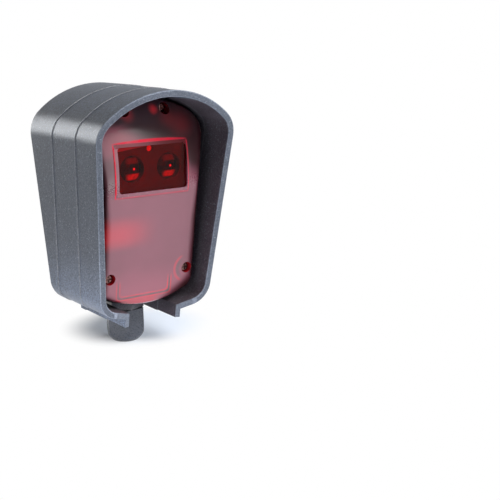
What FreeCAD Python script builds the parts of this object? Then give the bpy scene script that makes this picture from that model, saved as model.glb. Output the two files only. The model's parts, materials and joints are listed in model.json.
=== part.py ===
import FreeCAD, Part
import math
import os

# Reflective photocell in its weather hood.
# Millimetres and degrees. +Z is up, the front faces -Y and the wall plane is Y = 0.
# A depth is a distance forward from the wall plane, so a point at depth d has Y = -d.
# The origin is the centre of the two wall-screw holes, on the wall plane.

Vector = FreeCAD.Vector

# Sensor housing, seen from the front
HOUSING_HALF_WIDTH = 24.6         # of the straight lower part
HOUSING_TOP = 42.0                # top of the arched upper end, above the origin
HOUSING_BOTTOM = 56.3             # lowest point of the arched lower end, below the origin
END_RADIUS = 46.2                 # arched ends of the housing and the arch of the hood
FLARE_START = 5.0                 # below this height under the origin the sides are straight
FLARE_RADIUS = 120.0              # above it they curve outwards
HOUSING_SHOULDER = 12.0           # rounded upper corners
HOUSING_CORNER = 6.5              # rounded lower corners
HOUSING_WALL = 2.5

# Depths of the sensor housing
HOOD_BACK_WALL = 3.0              # the housing sits on this wall of the hood
BASE_HEIGHT = 33.0                # from the hood's back wall to the parting line
GASKET_THICKNESS = 0.8
GASKET_INSET = 0.4                # the gasket's edges lie this far inside both walls
COVER_FOOT = 6.2                  # height of the cover above the gasket, at its lower end
FACE_LEAN = 10.4                  # the lower face overhangs by this angle
FACE_BEND = 2.0                   # below this height under the origin the face is straight
FACE_BULGE_RADIUS = 60.0          # above it the face curves back
COVER_WALL = 2.2
COVER_EDGE = 1.5                  # rounded edge round the face

# Window in the cover
WINDOW_HALF_WIDTH = 17.9
WINDOW_BOTTOM = -0.2
WINDOW_HEIGHT = 21.0
WINDOW_CORNER = 1.6
WINDOW_RECESS = 1.2               # at the window's middle height
PANE_THICKNESS = 1.8
BEZEL_WIDTH = 2.0
BEZEL_HEIGHT = 0.4

# Sealing rib inside the foot of the cover
RIB_HALF_WIDTH = 14.6
RIB_LIFT = 3.2                    # above the housing's lowest point
RIB_HEIGHT = 15.0
RIB_THICKNESS = 1.2
RIB_CORNER = 3.0
RIB_CLEARANCE = 0.3               # short of the parting line

# Cover screws
SCREW_RADIUS = 1.25
SCREW_HEAD_RADIUS = 2.5
SCREW_HEAD_HEIGHT = 2.0
SCREW_LENGTH = 16.0
SCREW_SEAT_HEIGHT = 5.2           # seat of the heads above the gasket
SCREW_BOSS_WALL = 2.3             # boss wall round the shank
HEAD_CLEARANCE = 0.2
SHANK_CLEARANCE = 0.2             # loose holes
THREAD_CLEARANCE = 0.05           # holes that a thread bites in
CROSS_LENGTH = 3.0
CROSS_WIDTH = 0.8
CROSS_DEPTH = 1.1
LOW_SCREW_INSET = 3.95            # from the side of the housing
LOW_SCREW_RISE = 15.2             # above its lowest point
TOP_SCREW_SPREAD = 10.65
TOP_SCREW_DROP = 5.4              # below its highest point

# Wall screws
WALL_HOLE_SPACING = 66.0
WALL_HOLE_RADIUS = 2.25

# Hood
HOOD_WALL = 3.0
SIDE_ROOM = 5.9                   # between housing and hood, at the height of the origin
TOP_ROOM = 1.5
BOTTOM_ROOM = 2.0
SIDE_TAPER = 4.3
HOOD_TOP_CORNER = 13.1
HOOD_LOW_CORNER = 10.7
FLANGE_SLOPE = 17.5
FLANGE_SWEEP = 18.0               # front edges of the flanges run back towards the gap
GAP_ROOM = 2.7                    # between the gland's corners and the lips
LIP_THICKNESS = 2.2
LIP_DROP = 3.5                    # below the underside of the flange
RIM_REACH = 20.15                 # rim past the foot of the cover, at the height of the origin
RIM_LEAN = 11.37
FRONT_BAND = 20.65                # widths of the stepped bands behind the rim
MIDDLE_BAND = 23.7
STEP_HEIGHT = 0.4
RIM_EDGE = 0.6                    # rounded edges of the rim

# Screws that hold the base to the hood from behind
HOOD_SCREW_SPREAD = 14.0
HOOD_SCREW_LENGTH = 7.5
HOOD_SCREW_HEAD_HEIGHT = 1.6
HOOD_SCREW_SINK = 0.1             # heads below the wall plane
HOOD_BOSS_HEIGHT = 5.0

# Circuit board
BOARD_STANDOFF = 18.9
BOARD_THICKNESS = 1.6
BOARD_SIDE_ROOM = 1.5             # between board and housing wall
BOARD_ABOVE_HOLDER = 7.5          # past the lens holder
BOARD_BELOW_PARTS = 2.1           # past the terminal block
BOARD_CORNER = 2.4
BOARD_NOTCH_ROOM = 0.5            # round a screw boss that stands in the board's way
BOARD_SCREW_INSET_X = 3.2
BOARD_SCREW_INSET_Z = 4.0
BOARD_SCREW_RADIUS = 1.25
BOARD_SCREW_HEAD_RADIUS = 2.3
BOARD_SCREW_HEAD_HEIGHT = 1.6
BOARD_SCREW_LENGTH = 8.0
BOARD_POST_WALL = 1.6

# Lens holder, lenses and lamps
LENS_SPREAD = 9.6
HOLDER_MARGIN = 1.2               # holder past the window, all round
HOLDER_CLEARANCE = 0.3            # between holder and cover
LENS_MOUTH_RADIUS = 6.2
LENS_MOUTH_DEPTH = 4.2
LENS_CLEARANCE = 0.1
LENS_RIM = 1.2
LENS_CROWN = 1.6
TUBE_RADIUS = 5.0
LAMP_DROP = 1.6                   # centre of the lamp below the window's top edge
LAMP_RADIUS = 1.5
LAMP_LENGTH = 5.0
LAMP_FLANGE = 0.4
LAMP_FLANGE_HEIGHT = 1.0
LAMP_CLEARANCE = 0.1
LEAD_SPACING = 1.3
LEAD_WIDTH = 0.5

# Diodes at the back of the lens tubes
EMITTER_RADIUS = 2.5
EMITTER_HEIGHT = 8.6
EMITTER_FLANGE = 0.4
EMITTER_FLANGE_HEIGHT = 1.0
RECEIVER_WIDTH = 5.4
RECEIVER_LENGTH = 4.4
RECEIVER_HEIGHT = 3.2
RECEIVER_LENS_RADIUS = 1.8

# Parts on the lower half of the board
PART_GAP = 1.0                    # between neighbours on the board
RELAY_WIDTH = 20.0
RELAY_LENGTH = 10.0
RELAY_HEIGHT = 10.6
RELAY_EDGE = 0.5
CHIP_WIDTH = 3.9
CHIP_LENGTH = 8.7
CHIP_HEIGHT = 1.5
CHIP_PIN_REACH = 1.0
CHIP_PIN_WIDTH = 0.45
CHIP_PIN_PITCH = 1.27
CHIP_PIN_COUNT = 7
CAPACITOR_RADIUS = 4.0
CAPACITOR_HEIGHT = 11.5
CAPACITOR_ROLL = 0.35             # depth of the rolled groove
CAPACITOR_GROOVE_RISE = 1.7
TERMINAL_PITCH = 5.0
TERMINAL_COUNT = 5
TERMINAL_LENGTH = 8.0
TERMINAL_HEIGHT = 10.0
TERMINAL_SCREW_RADIUS = 1.6
TERMINAL_SCREW_SINK = 1.0
TERMINAL_SCREW_LENGTH = 5.0
WIRE_HOLE_WIDTH = 3.0
WIRE_HOLE_HEIGHT = 3.4
WIRE_HOLE_DEPTH = 5.0
JUMPER_PITCH = 2.54
JUMPER_HEIGHT = 8.5
JUMPER_CAP = 6.0
JUMPER_CAP_INSET = 0.2            # sides of the cap inside those of the header

# Cable gland under the base
GLAND_DEPTH = 18.9
GLAND_THREAD_RADIUS = 7.5
GLAND_CLEARANCE = 0.1
GLAND_SEAT_RADIUS = 11.0
GLAND_SEAT_DROP = 1.2             # seat below the housing's lowest point
GLAND_SEAT_RISE = 1.3             # seat's inner face above the housing's wall
WASHER_RADIUS = 9.6
WASHER_THICKNESS = 1.5
COLLAR_ACROSS_FLATS = 16.8
COLLAR_TURN = 22.0
COLLAR_HEIGHT = 4.0
NUT_ACROSS_FLATS = 17.4
NUT_TURN = 10.0
NUT_GAP = 0.3                     # between collar and dome nut
NUT_HEIGHT = 16.5
NUT_DOME = 7.2                    # height of the rounded lower end
NUT_FOOT_WALL = 1.9               # ring round the mouth that the dome ends in
NUT_FLOOR = 3.0
LOWER_THREAD_HEIGHT = 8.0
CABLE_RADIUS = 4.0
CABLE_ROOM = 0.6                  # bores of nut and body past the cable's radius
SEAL_WALL = 1.6
SEAL_CLEARANCE = 0.2
LOCKNUT_ACROSS_FLATS = 18.0
LOCKNUT_HEIGHT = 4.0
THREAD_PROUD = 1.0                # upper thread past the locknut

# Depths worked out from the sizes above
BASE_BACK = HOOD_BACK_WALL
BASE_FLOOR = BASE_BACK + HOUSING_WALL
BASE_FRONT = BASE_BACK + BASE_HEIGHT
COVER_BACK = BASE_FRONT + GASKET_THICKNESS
FACE_FOOT = COVER_BACK + COVER_FOOT
SCREW_SEAT = COVER_BACK + SCREW_SEAT_HEIGHT
BOARD_BACK = BASE_FLOOR + BOARD_STANDOFF
BOARD_FRONT = BOARD_BACK + BOARD_THICKNESS
RIM_DEPTH = FACE_FOOT + RIM_REACH
LEAN = math.tan(math.radians(RIM_LEAN))

# Places worked out from the sizes above
WINDOW_TOP = WINDOW_BOTTOM + WINDOW_HEIGHT
WINDOW_MIDDLE = WINDOW_BOTTOM + WINDOW_HEIGHT / 2
HOOD_TOP = HOUSING_TOP + TOP_ROOM + HOOD_WALL
HOOD_BOTTOM = HOUSING_BOTTOM + BOTTOM_ROOM + HOOD_WALL
HOOD_HALF_WIDTH = HOUSING_HALF_WIDTH + SIDE_ROOM + HOOD_WALL
NUT_CORNER_RADIUS = NUT_ACROSS_FLATS / 2 / math.cos(math.radians(30))
GAP_HALF_WIDTH = NUT_CORNER_RADIUS + GAP_ROOM
LOW_SCREW_X = HOUSING_HALF_WIDTH - LOW_SCREW_INSET
LOW_SCREW_Z = LOW_SCREW_RISE - HOUSING_BOTTOM
TOP_SCREW_Z = HOUSING_TOP - TOP_SCREW_DROP
COVER_SCREW_PLACES = [
    (side * x, z)
    for x, z in ((TOP_SCREW_SPREAD, TOP_SCREW_Z), (LOW_SCREW_X, LOW_SCREW_Z))
    for side in (-1, 1)
]
LENS_HEIGHT = WINDOW_MIDDLE       # of the optical axes

# Rows of parts on the board: the upper row lies under the lens holder, the lower row under that
BOARD_HALF_WIDTH = HOUSING_HALF_WIDTH - HOUSING_WALL - BOARD_SIDE_ROOM
UPPER_ROW_TOP = WINDOW_BOTTOM - HOLDER_MARGIN - PART_GAP
UPPER_ROW_MIDDLE = UPPER_ROW_TOP - RELAY_LENGTH / 2
LOWER_ROW_TOP = UPPER_ROW_TOP - RELAY_LENGTH - PART_GAP / 2
RELAY_LEFT = PART_GAP / 2 - BOARD_HALF_WIDTH
CHIP_LEFT = RELAY_LEFT + RELAY_WIDTH + PART_GAP + CHIP_PIN_REACH
CAPACITOR_X = CHIP_LEFT + CHIP_WIDTH + CHIP_PIN_REACH + PART_GAP + CAPACITOR_RADIUS
TERMINAL_LEFT = -TERMINAL_COUNT * TERMINAL_PITCH / 2
TERMINAL_RIGHT = -TERMINAL_LEFT
BOARD_TOP = WINDOW_TOP + HOLDER_MARGIN + BOARD_ABOVE_HOLDER
BOARD_BOTTOM = LOWER_ROW_TOP - TERMINAL_LENGTH - BOARD_BELOW_PARTS
BOARD_SCREW_X = BOARD_HALF_WIDTH - BOARD_SCREW_INSET_X
BOARD_SCREW_PLACES = [
    (side * BOARD_SCREW_X, z)
    for z in (BOARD_TOP - BOARD_SCREW_INSET_Z, BOARD_BOTTOM + BOARD_SCREW_INSET_Z)
    for side in (-1, 1)
]

# Places of the screws on the back and of the gland
HOOD_SCREW_PLACES = [(-HOOD_SCREW_SPREAD, 0), (HOOD_SCREW_SPREAD, 0)]
WALL_HOLE_PLACES = [(0, WALL_HOLE_SPACING / 2), (0, -WALL_HOLE_SPACING / 2)]
GLAND_SEAT = -HOUSING_BOTTOM - GLAND_SEAT_DROP
GLAND_INSIDE = HOUSING_WALL + GLAND_SEAT_RISE - HOUSING_BOTTOM
COLLAR_TOP = GLAND_SEAT - WASHER_THICKNESS
COLLAR_BOTTOM = COLLAR_TOP - COLLAR_HEIGHT
NUT_TOP = COLLAR_BOTTOM - NUT_GAP
NUT_BOTTOM = NUT_TOP - NUT_HEIGHT

# How far cutting and trimming blocks reach past the part
REACH = 4 * HOOD_HALF_WIDTH

# Edges nearer than this to a plane lie on it
TOUCH = 1e-4


def line(start, end):
    return Part.LineSegment(start, end).toShape()


def arc(start, middle, end):
    return Part.Arc(start, middle, end).toShape()


def front_point(x, z):
    """A point of a front-view outline, on the wall plane."""
    return Vector(x, 0, z)


def solid_between(wire, back, front):
    """Extrude a front-view outline from one depth to another."""
    block = Part.Face(wire).extrude(Vector(0, back - front, 0))
    block.translate(Vector(0, -back, 0))
    return block


def rod(x, z, radius, back, front):
    """A round bar that runs forward between two depths."""
    return Part.makeCylinder(radius, front - back, Vector(x, -back, z), Vector(0, -1, 0))


def block(x_low, x_high, back, front, z_low, z_high):
    corner = Vector(x_low, -front, z_low)
    return Part.makeBox(x_high - x_low, front - back, z_high - z_low, corner)


def rounded_rectangle(half_width, z_low, z_high, corner):
    """A closed front-view outline, centred on X = 0."""
    bulge = corner * (1 - math.sqrt(0.5))
    edges = []
    ends = []
    for x_side, z_edge, z_side in ((1, z_high, 1), (1, z_low, -1), (-1, z_low, -1), (-1, z_high, 1)):
        along = front_point(x_side * (half_width - corner), z_edge)
        down = front_point(x_side * half_width, z_edge - z_side * corner)
        middle = front_point(x_side * (half_width - bulge), z_edge - z_side * bulge)
        pair = (along, down) if x_side == z_side else (down, along)
        edges.append(arc(pair[0], middle, pair[1]))
        ends.append(pair)
    for index, pair in enumerate(ends):
        following = ends[(index + 1) % len(ends)]
        edges.append(line(pair[1], following[0]))
    return Part.Wire(Part.__sortEdges__(edges))


def mirrored_outline(right_edges):
    """Close a front-view outline from its right half."""
    edges = list(right_edges)
    for edge in right_edges:
        edges.append(edge.mirror(Vector(0, 0, 0), Vector(1, 0, 0)))
    return Part.Wire(Part.__sortEdges__(edges))


def round_point(centre, radius, angle):
    """A point on a front-view circle. The angle is measured from +X towards +Z."""
    return front_point(centre[0] + radius * math.cos(angle), centre[1] + radius * math.sin(angle))


def round_corner(centre, radius, start_angle, end_angle):
    middle_angle = (start_angle + end_angle) / 2
    return arc(
        round_point(centre, radius, start_angle),
        round_point(centre, radius, middle_angle),
        round_point(centre, radius, end_angle),
    )


def housing_shoulder(top_centre, flare_centre):
    """Centre of the rounding between the arched top and the flared side, and its end angles."""
    swing = END_RADIUS - HOUSING_SHOULDER
    reach = FLARE_RADIUS + HOUSING_SHOULDER
    across = flare_centre[0] - top_centre[0]
    rise = flare_centre[1] - top_centre[1]
    span = math.hypot(across, rise)
    spread = math.acos((swing ** 2 + span ** 2 - reach ** 2) / (2 * swing * span))
    top_angle = math.atan2(rise, across) + spread
    centre = (top_centre[0] + swing * math.cos(top_angle), top_centre[1] + swing * math.sin(top_angle))
    side_angle = math.atan2(flare_centre[1] - centre[1], flare_centre[0] - centre[0])
    return centre, top_angle, side_angle


def housing_outline(inset):
    """Straight sides that flare at the top, arched ends and rounded corners.

    A positive inset makes it smaller.
    """
    top_centre = (0, HOUSING_TOP - END_RADIUS)
    flare_centre = (HOUSING_HALF_WIDTH + FLARE_RADIUS, -FLARE_START)
    shoulder, top_angle, side_angle = housing_shoulder(top_centre, flare_centre)
    corner_x = HOUSING_HALF_WIDTH - HOUSING_CORNER
    drop = math.sqrt((END_RADIUS - HOUSING_CORNER) ** 2 - corner_x ** 2)
    low_centre = (0, END_RADIUS - HOUSING_BOTTOM)
    low_corner = (corner_x, low_centre[1] - drop)
    low_angle = -math.atan2(drop, corner_x)
    end_radius = END_RADIUS - inset
    flare_radius = FLARE_RADIUS + inset
    corner_radius = HOUSING_CORNER - inset
    right_edges = [
        round_corner(top_centre, end_radius, math.pi / 2, top_angle),
        round_corner(shoulder, HOUSING_SHOULDER - inset, top_angle, side_angle),
        round_corner(flare_centre, flare_radius, side_angle + math.pi, math.pi),
        line(round_point(flare_centre, flare_radius, math.pi), round_point(low_corner, corner_radius, 0)),
        round_corner(low_corner, corner_radius, 0, low_angle),
        round_corner(low_centre, end_radius, low_angle, -math.pi / 2),
    ]
    return mirrored_outline(right_edges)


def side_distance():
    """Distance of the hood's tapered side from the origin."""
    return HOOD_HALF_WIDTH * math.cos(math.radians(SIDE_TAPER))


def flange_distance():
    """Distance of the flange's underside from the origin."""
    slope = math.radians(FLANGE_SLOPE)
    return GAP_HALF_WIDTH * math.sin(slope) + HOOD_BOTTOM * math.cos(slope)


def hood_low_corner():
    """Centre of the rounding between the right side and its flange."""
    taper = math.radians(SIDE_TAPER)
    slope = math.radians(FLANGE_SLOPE)
    side_reach = side_distance() - HOOD_LOW_CORNER
    flange_reach = flange_distance() - HOOD_LOW_CORNER
    spread = math.cos(taper + slope)
    return (
        (side_reach * math.cos(slope) - flange_reach * math.sin(taper)) / spread,
        (side_reach * math.sin(slope) - flange_reach * math.cos(taper)) / spread,
    )


def hood_outline(grow):
    """Arch, rounded shoulders, tapered sides, rounded lower corners and sloping flanges.

    The outline closes straight across the gap between the flanges.
    """
    taper = math.radians(SIDE_TAPER)
    slope = math.radians(FLANGE_SLOPE)
    arch_centre = (0, HOOD_TOP - END_RADIUS)
    swing = END_RADIUS - HOOD_TOP_CORNER
    lean = math.asin((side_distance() - HOOD_TOP_CORNER + arch_centre[1] * math.sin(taper)) / swing)
    shoulder_angle = math.pi / 2 - (taper + lean)
    shoulder = (
        swing * math.cos(shoulder_angle),
        arch_centre[1] + swing * math.sin(shoulder_angle),
    )
    low_corner = hood_low_corner()
    low_angle = slope - math.pi / 2
    flange_start = round_point(low_corner, HOOD_LOW_CORNER + grow, low_angle)
    end_height = (GAP_HALF_WIDTH * math.sin(slope) - flange_distance() - grow) / math.cos(slope)
    flange_end = front_point(GAP_HALF_WIDTH, end_height)
    right_edges = [
        round_corner(arch_centre, END_RADIUS + grow, math.pi / 2, shoulder_angle),
        round_corner(shoulder, HOOD_TOP_CORNER + grow, shoulder_angle, -taper),
        line(
            round_point(shoulder, HOOD_TOP_CORNER + grow, -taper),
            round_point(low_corner, HOOD_LOW_CORNER + grow, -taper),
        ),
        round_corner(low_corner, HOOD_LOW_CORNER + grow, -taper, low_angle),
        line(flange_start, flange_end),
        line(flange_end, front_point(0, end_height)),
    ]
    return mirrored_outline(right_edges)


def side_block(points):
    """A block with a side-view outline of (depth, height) points, through the whole width."""
    corners = [Vector(-REACH / 2, -depth, height) for depth, height in points]
    face = Part.Face(Part.makePolygon(corners + corners[:1]))
    return face.extrude(Vector(REACH, 0, 0))


def slanted_block(back, front):
    """The room between two planes that lean like the rim. The depths are at the origin's height."""
    low = -REACH / 2
    high = REACH / 2
    return side_block([
        (back + LEAN * low, low),
        (front + LEAN * low, low),
        (front + LEAN * high, high),
        (back + LEAN * high, high),
    ])


def hood_lips(grow):
    """Lips along the inner edges of both flanges, through the whole depth of the hood."""
    low = -HOOD_BOTTOM - LIP_DROP - grow
    high = -HOOD_BOTTOM + HOOD_WALL
    outer = GAP_HALF_WIDTH + LIP_THICKNESS
    return [
        block(-outer, -GAP_HALF_WIDTH, 0, REACH, low, high),
        block(GAP_HALF_WIDTH, outer, 0, REACH, low, high),
    ]


def flange_sweep():
    """The wedge in front of the flanges' swept front edges, leaning like the rim."""
    corner_x, corner_z = hood_low_corner()
    flange_x = corner_x + HOOD_LOW_CORNER * math.sin(math.radians(FLANGE_SLOPE))
    depth = RIM_DEPTH - LEAN * REACH
    notch = flange_x * math.tan(math.radians(FLANGE_SWEEP))
    corners = [
        Vector(-flange_x, -depth, -REACH),
        Vector(0, notch - depth, -REACH),
        Vector(flange_x, -depth, -REACH),
        Vector(flange_x, -REACH, -REACH),
        Vector(-flange_x, -REACH, -REACH),
    ]
    wedge = Part.Face(Part.makePolygon(corners + corners[:1]))
    rise = REACH + corner_z
    return wedge.extrude(Vector(0, -LEAN * rise, rise))


def rim_edges(shape):
    """The outer and the inner edges of the leaning rim."""
    found = []
    for edge in shape.Edges:
        if all(abs(-v.Point.y - RIM_DEPTH - LEAN * v.Point.z) < TOUCH for v in edge.Vertexes):
            found.append(edge)
    return found


def hood():
    second_step = RIM_DEPTH - FRONT_BAND
    first_step = second_step - MIDDLE_BAND
    bands = (
        (2 * STEP_HEIGHT, -REACH, first_step),
        (STEP_HEIGHT, first_step, second_step),
        (0, second_step, RIM_DEPTH),
    )
    shell = None
    lips = []
    for grow, back, front in bands:
        room = slanted_block(back, front)
        band = solid_between(hood_outline(grow), 0, REACH).common(room)
        shell = band if shell is None else shell.fuse(band)
        lips += [lip.common(room) for lip in hood_lips(grow)]
    shell = shell.cut(solid_between(hood_outline(-HOOD_WALL), HOOD_BACK_WALL, REACH)).removeSplitter()
    shell = shell.makeFillet(RIM_EDGE, rim_edges(shell))
    gap_top = -HOOD_BOTTOM + HOOD_WALL / math.cos(math.radians(FLANGE_SLOPE))
    gap = block(-GAP_HALF_WIDTH, GAP_HALF_WIDTH, -REACH, REACH, -REACH, gap_top)
    shell = shell.fuse(lips).cut([gap, flange_sweep()]).removeSplitter()
    holes = [rod(x, z, WALL_HOLE_RADIUS, 0, HOOD_BACK_WALL) for x, z in WALL_HOLE_PLACES]
    for x, z in HOOD_SCREW_PLACES:
        holes.append(rod(x, z, SCREW_RADIUS + SHANK_CLEARANCE, 0, HOOD_BACK_WALL))
        head_seat = HOOD_SCREW_SINK + HOOD_SCREW_HEAD_HEIGHT
        holes.append(rod(x, z, SCREW_HEAD_RADIUS + SHANK_CLEARANCE, 0, head_seat))
    return shell.cut(holes)


def gland_rod(radius, low, high):
    """A round bar on the gland's upright axis."""
    return Part.makeCylinder(radius, high - low, Vector(0, -GLAND_DEPTH, low))


def gland_hexagon(across_flats, turn, low, high):
    radius = across_flats / 2 / math.cos(math.radians(30))
    corners = []
    for index in range(7):
        angle = math.radians(turn + 60 * index)
        corners.append(Vector(radius * math.cos(angle), radius * math.sin(angle) - GLAND_DEPTH, low))
    return Part.Face(Part.makePolygon(corners)).extrude(Vector(0, 0, high - low))


def base_housing():
    body = solid_between(housing_outline(0), BASE_BACK, BASE_FRONT)
    inside = solid_between(housing_outline(HOUSING_WALL), BASE_FLOOR, BASE_FRONT)
    boss_radius = SCREW_RADIUS + SCREW_BOSS_WALL
    bosses = [rod(x, z, boss_radius, BASE_BACK, BASE_FRONT) for x, z in COVER_SCREW_PLACES]
    posts = [
        rod(x, z, BOARD_SCREW_RADIUS + BOARD_POST_WALL, BASE_BACK, BOARD_BACK)
        for x, z in BOARD_SCREW_PLACES
    ]
    anchors = [
        rod(x, z, boss_radius, BASE_BACK, BASE_FLOOR + HOOD_BOSS_HEIGHT) for x, z in HOOD_SCREW_PLACES
    ]
    seat = gland_rod(GLAND_SEAT_RADIUS, GLAND_SEAT, GLAND_INSIDE)
    within = solid_between(housing_outline(0), BASE_BACK, BASE_FRONT)
    inner = [boss.common(within) for boss in bosses] + posts + anchors + [seat]
    body = body.cut(inside).fuse(inner).removeSplitter()
    screw_end = SCREW_SEAT - SCREW_LENGTH
    holes = [
        rod(x, z, SCREW_RADIUS + THREAD_CLEARANCE, screw_end, BASE_FRONT) for x, z in COVER_SCREW_PLACES
    ]
    for x, z in BOARD_SCREW_PLACES:
        tip = BOARD_FRONT - BOARD_SCREW_LENGTH
        holes.append(rod(x, z, BOARD_SCREW_RADIUS + THREAD_CLEARANCE, tip, BOARD_BACK))
    for x, z in HOOD_SCREW_PLACES:
        tip = HOOD_SCREW_SINK + HOOD_SCREW_HEAD_HEIGHT + HOOD_SCREW_LENGTH
        holes.append(rod(x, z, SCREW_RADIUS + THREAD_CLEARANCE, BASE_BACK, tip))
    for x, z in WALL_HOLE_PLACES:
        holes.append(rod(x, z, WALL_HOLE_RADIUS, BASE_BACK, BASE_FLOOR))
    holes.append(gland_rod(GLAND_THREAD_RADIUS + GLAND_CLEARANCE, GLAND_SEAT, GLAND_INSIDE))
    return body.cut(holes)


def cover_gasket():
    outer = solid_between(housing_outline(GASKET_INSET), BASE_FRONT, COVER_BACK)
    inner = solid_between(housing_outline(HOUSING_WALL - GASKET_INSET), BASE_FRONT, COVER_BACK)
    ring = outer.cut(inner)
    notches = [
        rod(x, z, SCREW_RADIUS + SHANK_CLEARANCE, BASE_FRONT, COVER_BACK) for x, z in COVER_SCREW_PLACES
    ]
    return ring.cut(notches)


def face_bend():
    """Depth and height of the point where the straight lower face turns into the bulge."""
    rise = HOUSING_BOTTOM - FACE_BEND
    return FACE_FOOT + rise * math.tan(math.radians(FACE_LEAN)), -FACE_BEND


def face_block(inset):
    """Everything behind the cover's face, moved back by the inset."""
    lean = math.radians(FACE_LEAN)
    bend_depth, bend_height = face_bend()
    centre_depth = bend_depth - FACE_BULGE_RADIUS * math.cos(lean)
    centre_height = bend_height + FACE_BULGE_RADIUS * math.sin(lean)
    radius = FACE_BULGE_RADIUS - inset

    def bulge_point(angle):
        depth = centre_depth + radius * math.cos(angle)
        return Vector(-REACH / 2, -depth, centre_height + radius * math.sin(angle))

    top_angle = math.asin((HOUSING_TOP + COVER_EDGE - centre_height) / radius)
    bend = bulge_point(-lean)
    top = bulge_point(top_angle)
    low = Vector(bend.x, bend.y + HOUSING_BOTTOM * math.tan(lean), bend.z - HOUSING_BOTTOM)
    back_low = Vector(bend.x, 0, low.z)
    back_top = Vector(bend.x, 0, top.z)
    edges = [
        line(low, bend),
        arc(bend, bulge_point((top_angle - lean) / 2), top),
        line(top, back_top),
        line(back_top, back_low),
        line(back_low, low),
    ]
    return Part.Face(Part.Wire(edges)).extrude(Vector(REACH, 0, 0))


def face_depth(height):
    """Depth of the bulged part of the cover's face."""
    lean = math.radians(FACE_LEAN)
    bend_depth, bend_height = face_bend()
    centre_depth = bend_depth - FACE_BULGE_RADIUS * math.cos(lean)
    rise = height - bend_height - FACE_BULGE_RADIUS * math.sin(lean)
    return centre_depth + math.sqrt(FACE_BULGE_RADIUS ** 2 - rise ** 2)


PANE_FRONT = face_depth(WINDOW_MIDDLE) - WINDOW_RECESS
PANE_BACK = PANE_FRONT - PANE_THICKNESS


def window_block(grow, back, front):
    outline = rounded_rectangle(
        WINDOW_HALF_WIDTH + grow, WINDOW_BOTTOM - grow, WINDOW_TOP + grow, WINDOW_CORNER + max(grow, 0)
    )
    return solid_between(outline, back, front)


def front_edges(shape):
    """The loop of edges where the cover's face meets its sides."""
    found = []
    for edge in shape.Edges:
        forward = all(-v.Point.y > COVER_BACK + TOUCH for v in edge.Vertexes)
        across = all(abs(v.Point.z + FACE_BEND) < TOUCH for v in edge.Vertexes)
        if forward and not across:
            found.append(edge)
    return found


def rib_block():
    """U-shaped rib that stands on the inside of the cover's foot."""
    low = RIB_LIFT - HOUSING_BOTTOM
    high = low + 2 * RIB_HEIGHT
    outer = rounded_rectangle(RIB_HALF_WIDTH, low, high, RIB_CORNER)
    inner_half_width = RIB_HALF_WIDTH - RIB_THICKNESS
    inner = rounded_rectangle(inner_half_width, low + RIB_THICKNESS, high, RIB_CORNER - RIB_THICKNESS)
    back = COVER_BACK + RIB_CLEARANCE
    rib = solid_between(outer, back, REACH).cut(solid_between(inner, back, REACH))
    return rib.common(block(-REACH, REACH, back, REACH, low, low + RIB_HEIGHT))


def front_cover():
    body = solid_between(housing_outline(0), COVER_BACK, REACH).common(face_block(0))
    body = body.makeFillet(COVER_EDGE, front_edges(body))
    behind_face = face_block(COVER_WALL)
    inside = solid_between(housing_outline(HOUSING_WALL), COVER_BACK, REACH).common(behind_face)
    raised_face = face_block(-BEZEL_HEIGHT)
    bezel = window_block(BEZEL_WIDTH, PANE_FRONT, REACH).common(raised_face)
    frame = window_block(BEZEL_WIDTH, PANE_BACK, PANE_FRONT)
    room = face_block(COVER_WALL / 2)
    boss_radius = SCREW_HEAD_RADIUS + HEAD_CLEARANCE + COVER_WALL / 2
    within = solid_between(housing_outline(HOUSING_WALL / 2), COVER_BACK, REACH).common(room)
    bosses = [rod(x, z, boss_radius, COVER_BACK, REACH).common(within) for x, z in COVER_SCREW_PLACES]
    rib = rib_block().common(room)
    body = body.cut(inside).fuse(bosses + [rib, frame, bezel]).removeSplitter()
    holder_room = window_block(HOLDER_MARGIN + HOLDER_CLEARANCE, COVER_BACK, PANE_BACK)
    cuts = [window_block(0, PANE_FRONT, REACH), holder_room]
    for x, z in COVER_SCREW_PLACES:
        cuts.append(rod(x, z, SCREW_RADIUS + SHANK_CLEARANCE, COVER_BACK, SCREW_SEAT))
        cuts.append(rod(x, z, SCREW_HEAD_RADIUS + HEAD_CLEARANCE, SCREW_SEAT, REACH))
    return body.cut(cuts)


def pan_head_screw(x, z, seat, length):
    """A cover screw with a rounded head and a cross recess."""
    shank = rod(x, z, SCREW_RADIUS, seat - length, seat)
    head = rod(x, z, SCREW_HEAD_RADIUS, seat, seat + SCREW_HEAD_HEIGHT)
    top = seat + SCREW_HEAD_HEIGHT
    crown = [edge for edge in head.Edges if abs(edge.BoundBox.Center.y + top) < TOUCH]
    head = head.makeFillet(SCREW_HEAD_HEIGHT / 2, crown)
    half_long = CROSS_LENGTH / 2
    half_wide = CROSS_WIDTH / 2
    cross = [
        block(x - half_long, x + half_long, top - CROSS_DEPTH, top, z - half_wide, z + half_wide),
        block(x - half_wide, x + half_wide, top - CROSS_DEPTH, top, z - half_long, z + half_long),
    ]
    return shank.fuse(head).removeSplitter().cut(cross)


def cover_screws():
    screws = [pan_head_screw(x, z, SCREW_SEAT, SCREW_LENGTH) for x, z in COVER_SCREW_PLACES]
    return Part.makeCompound(screws)


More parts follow.
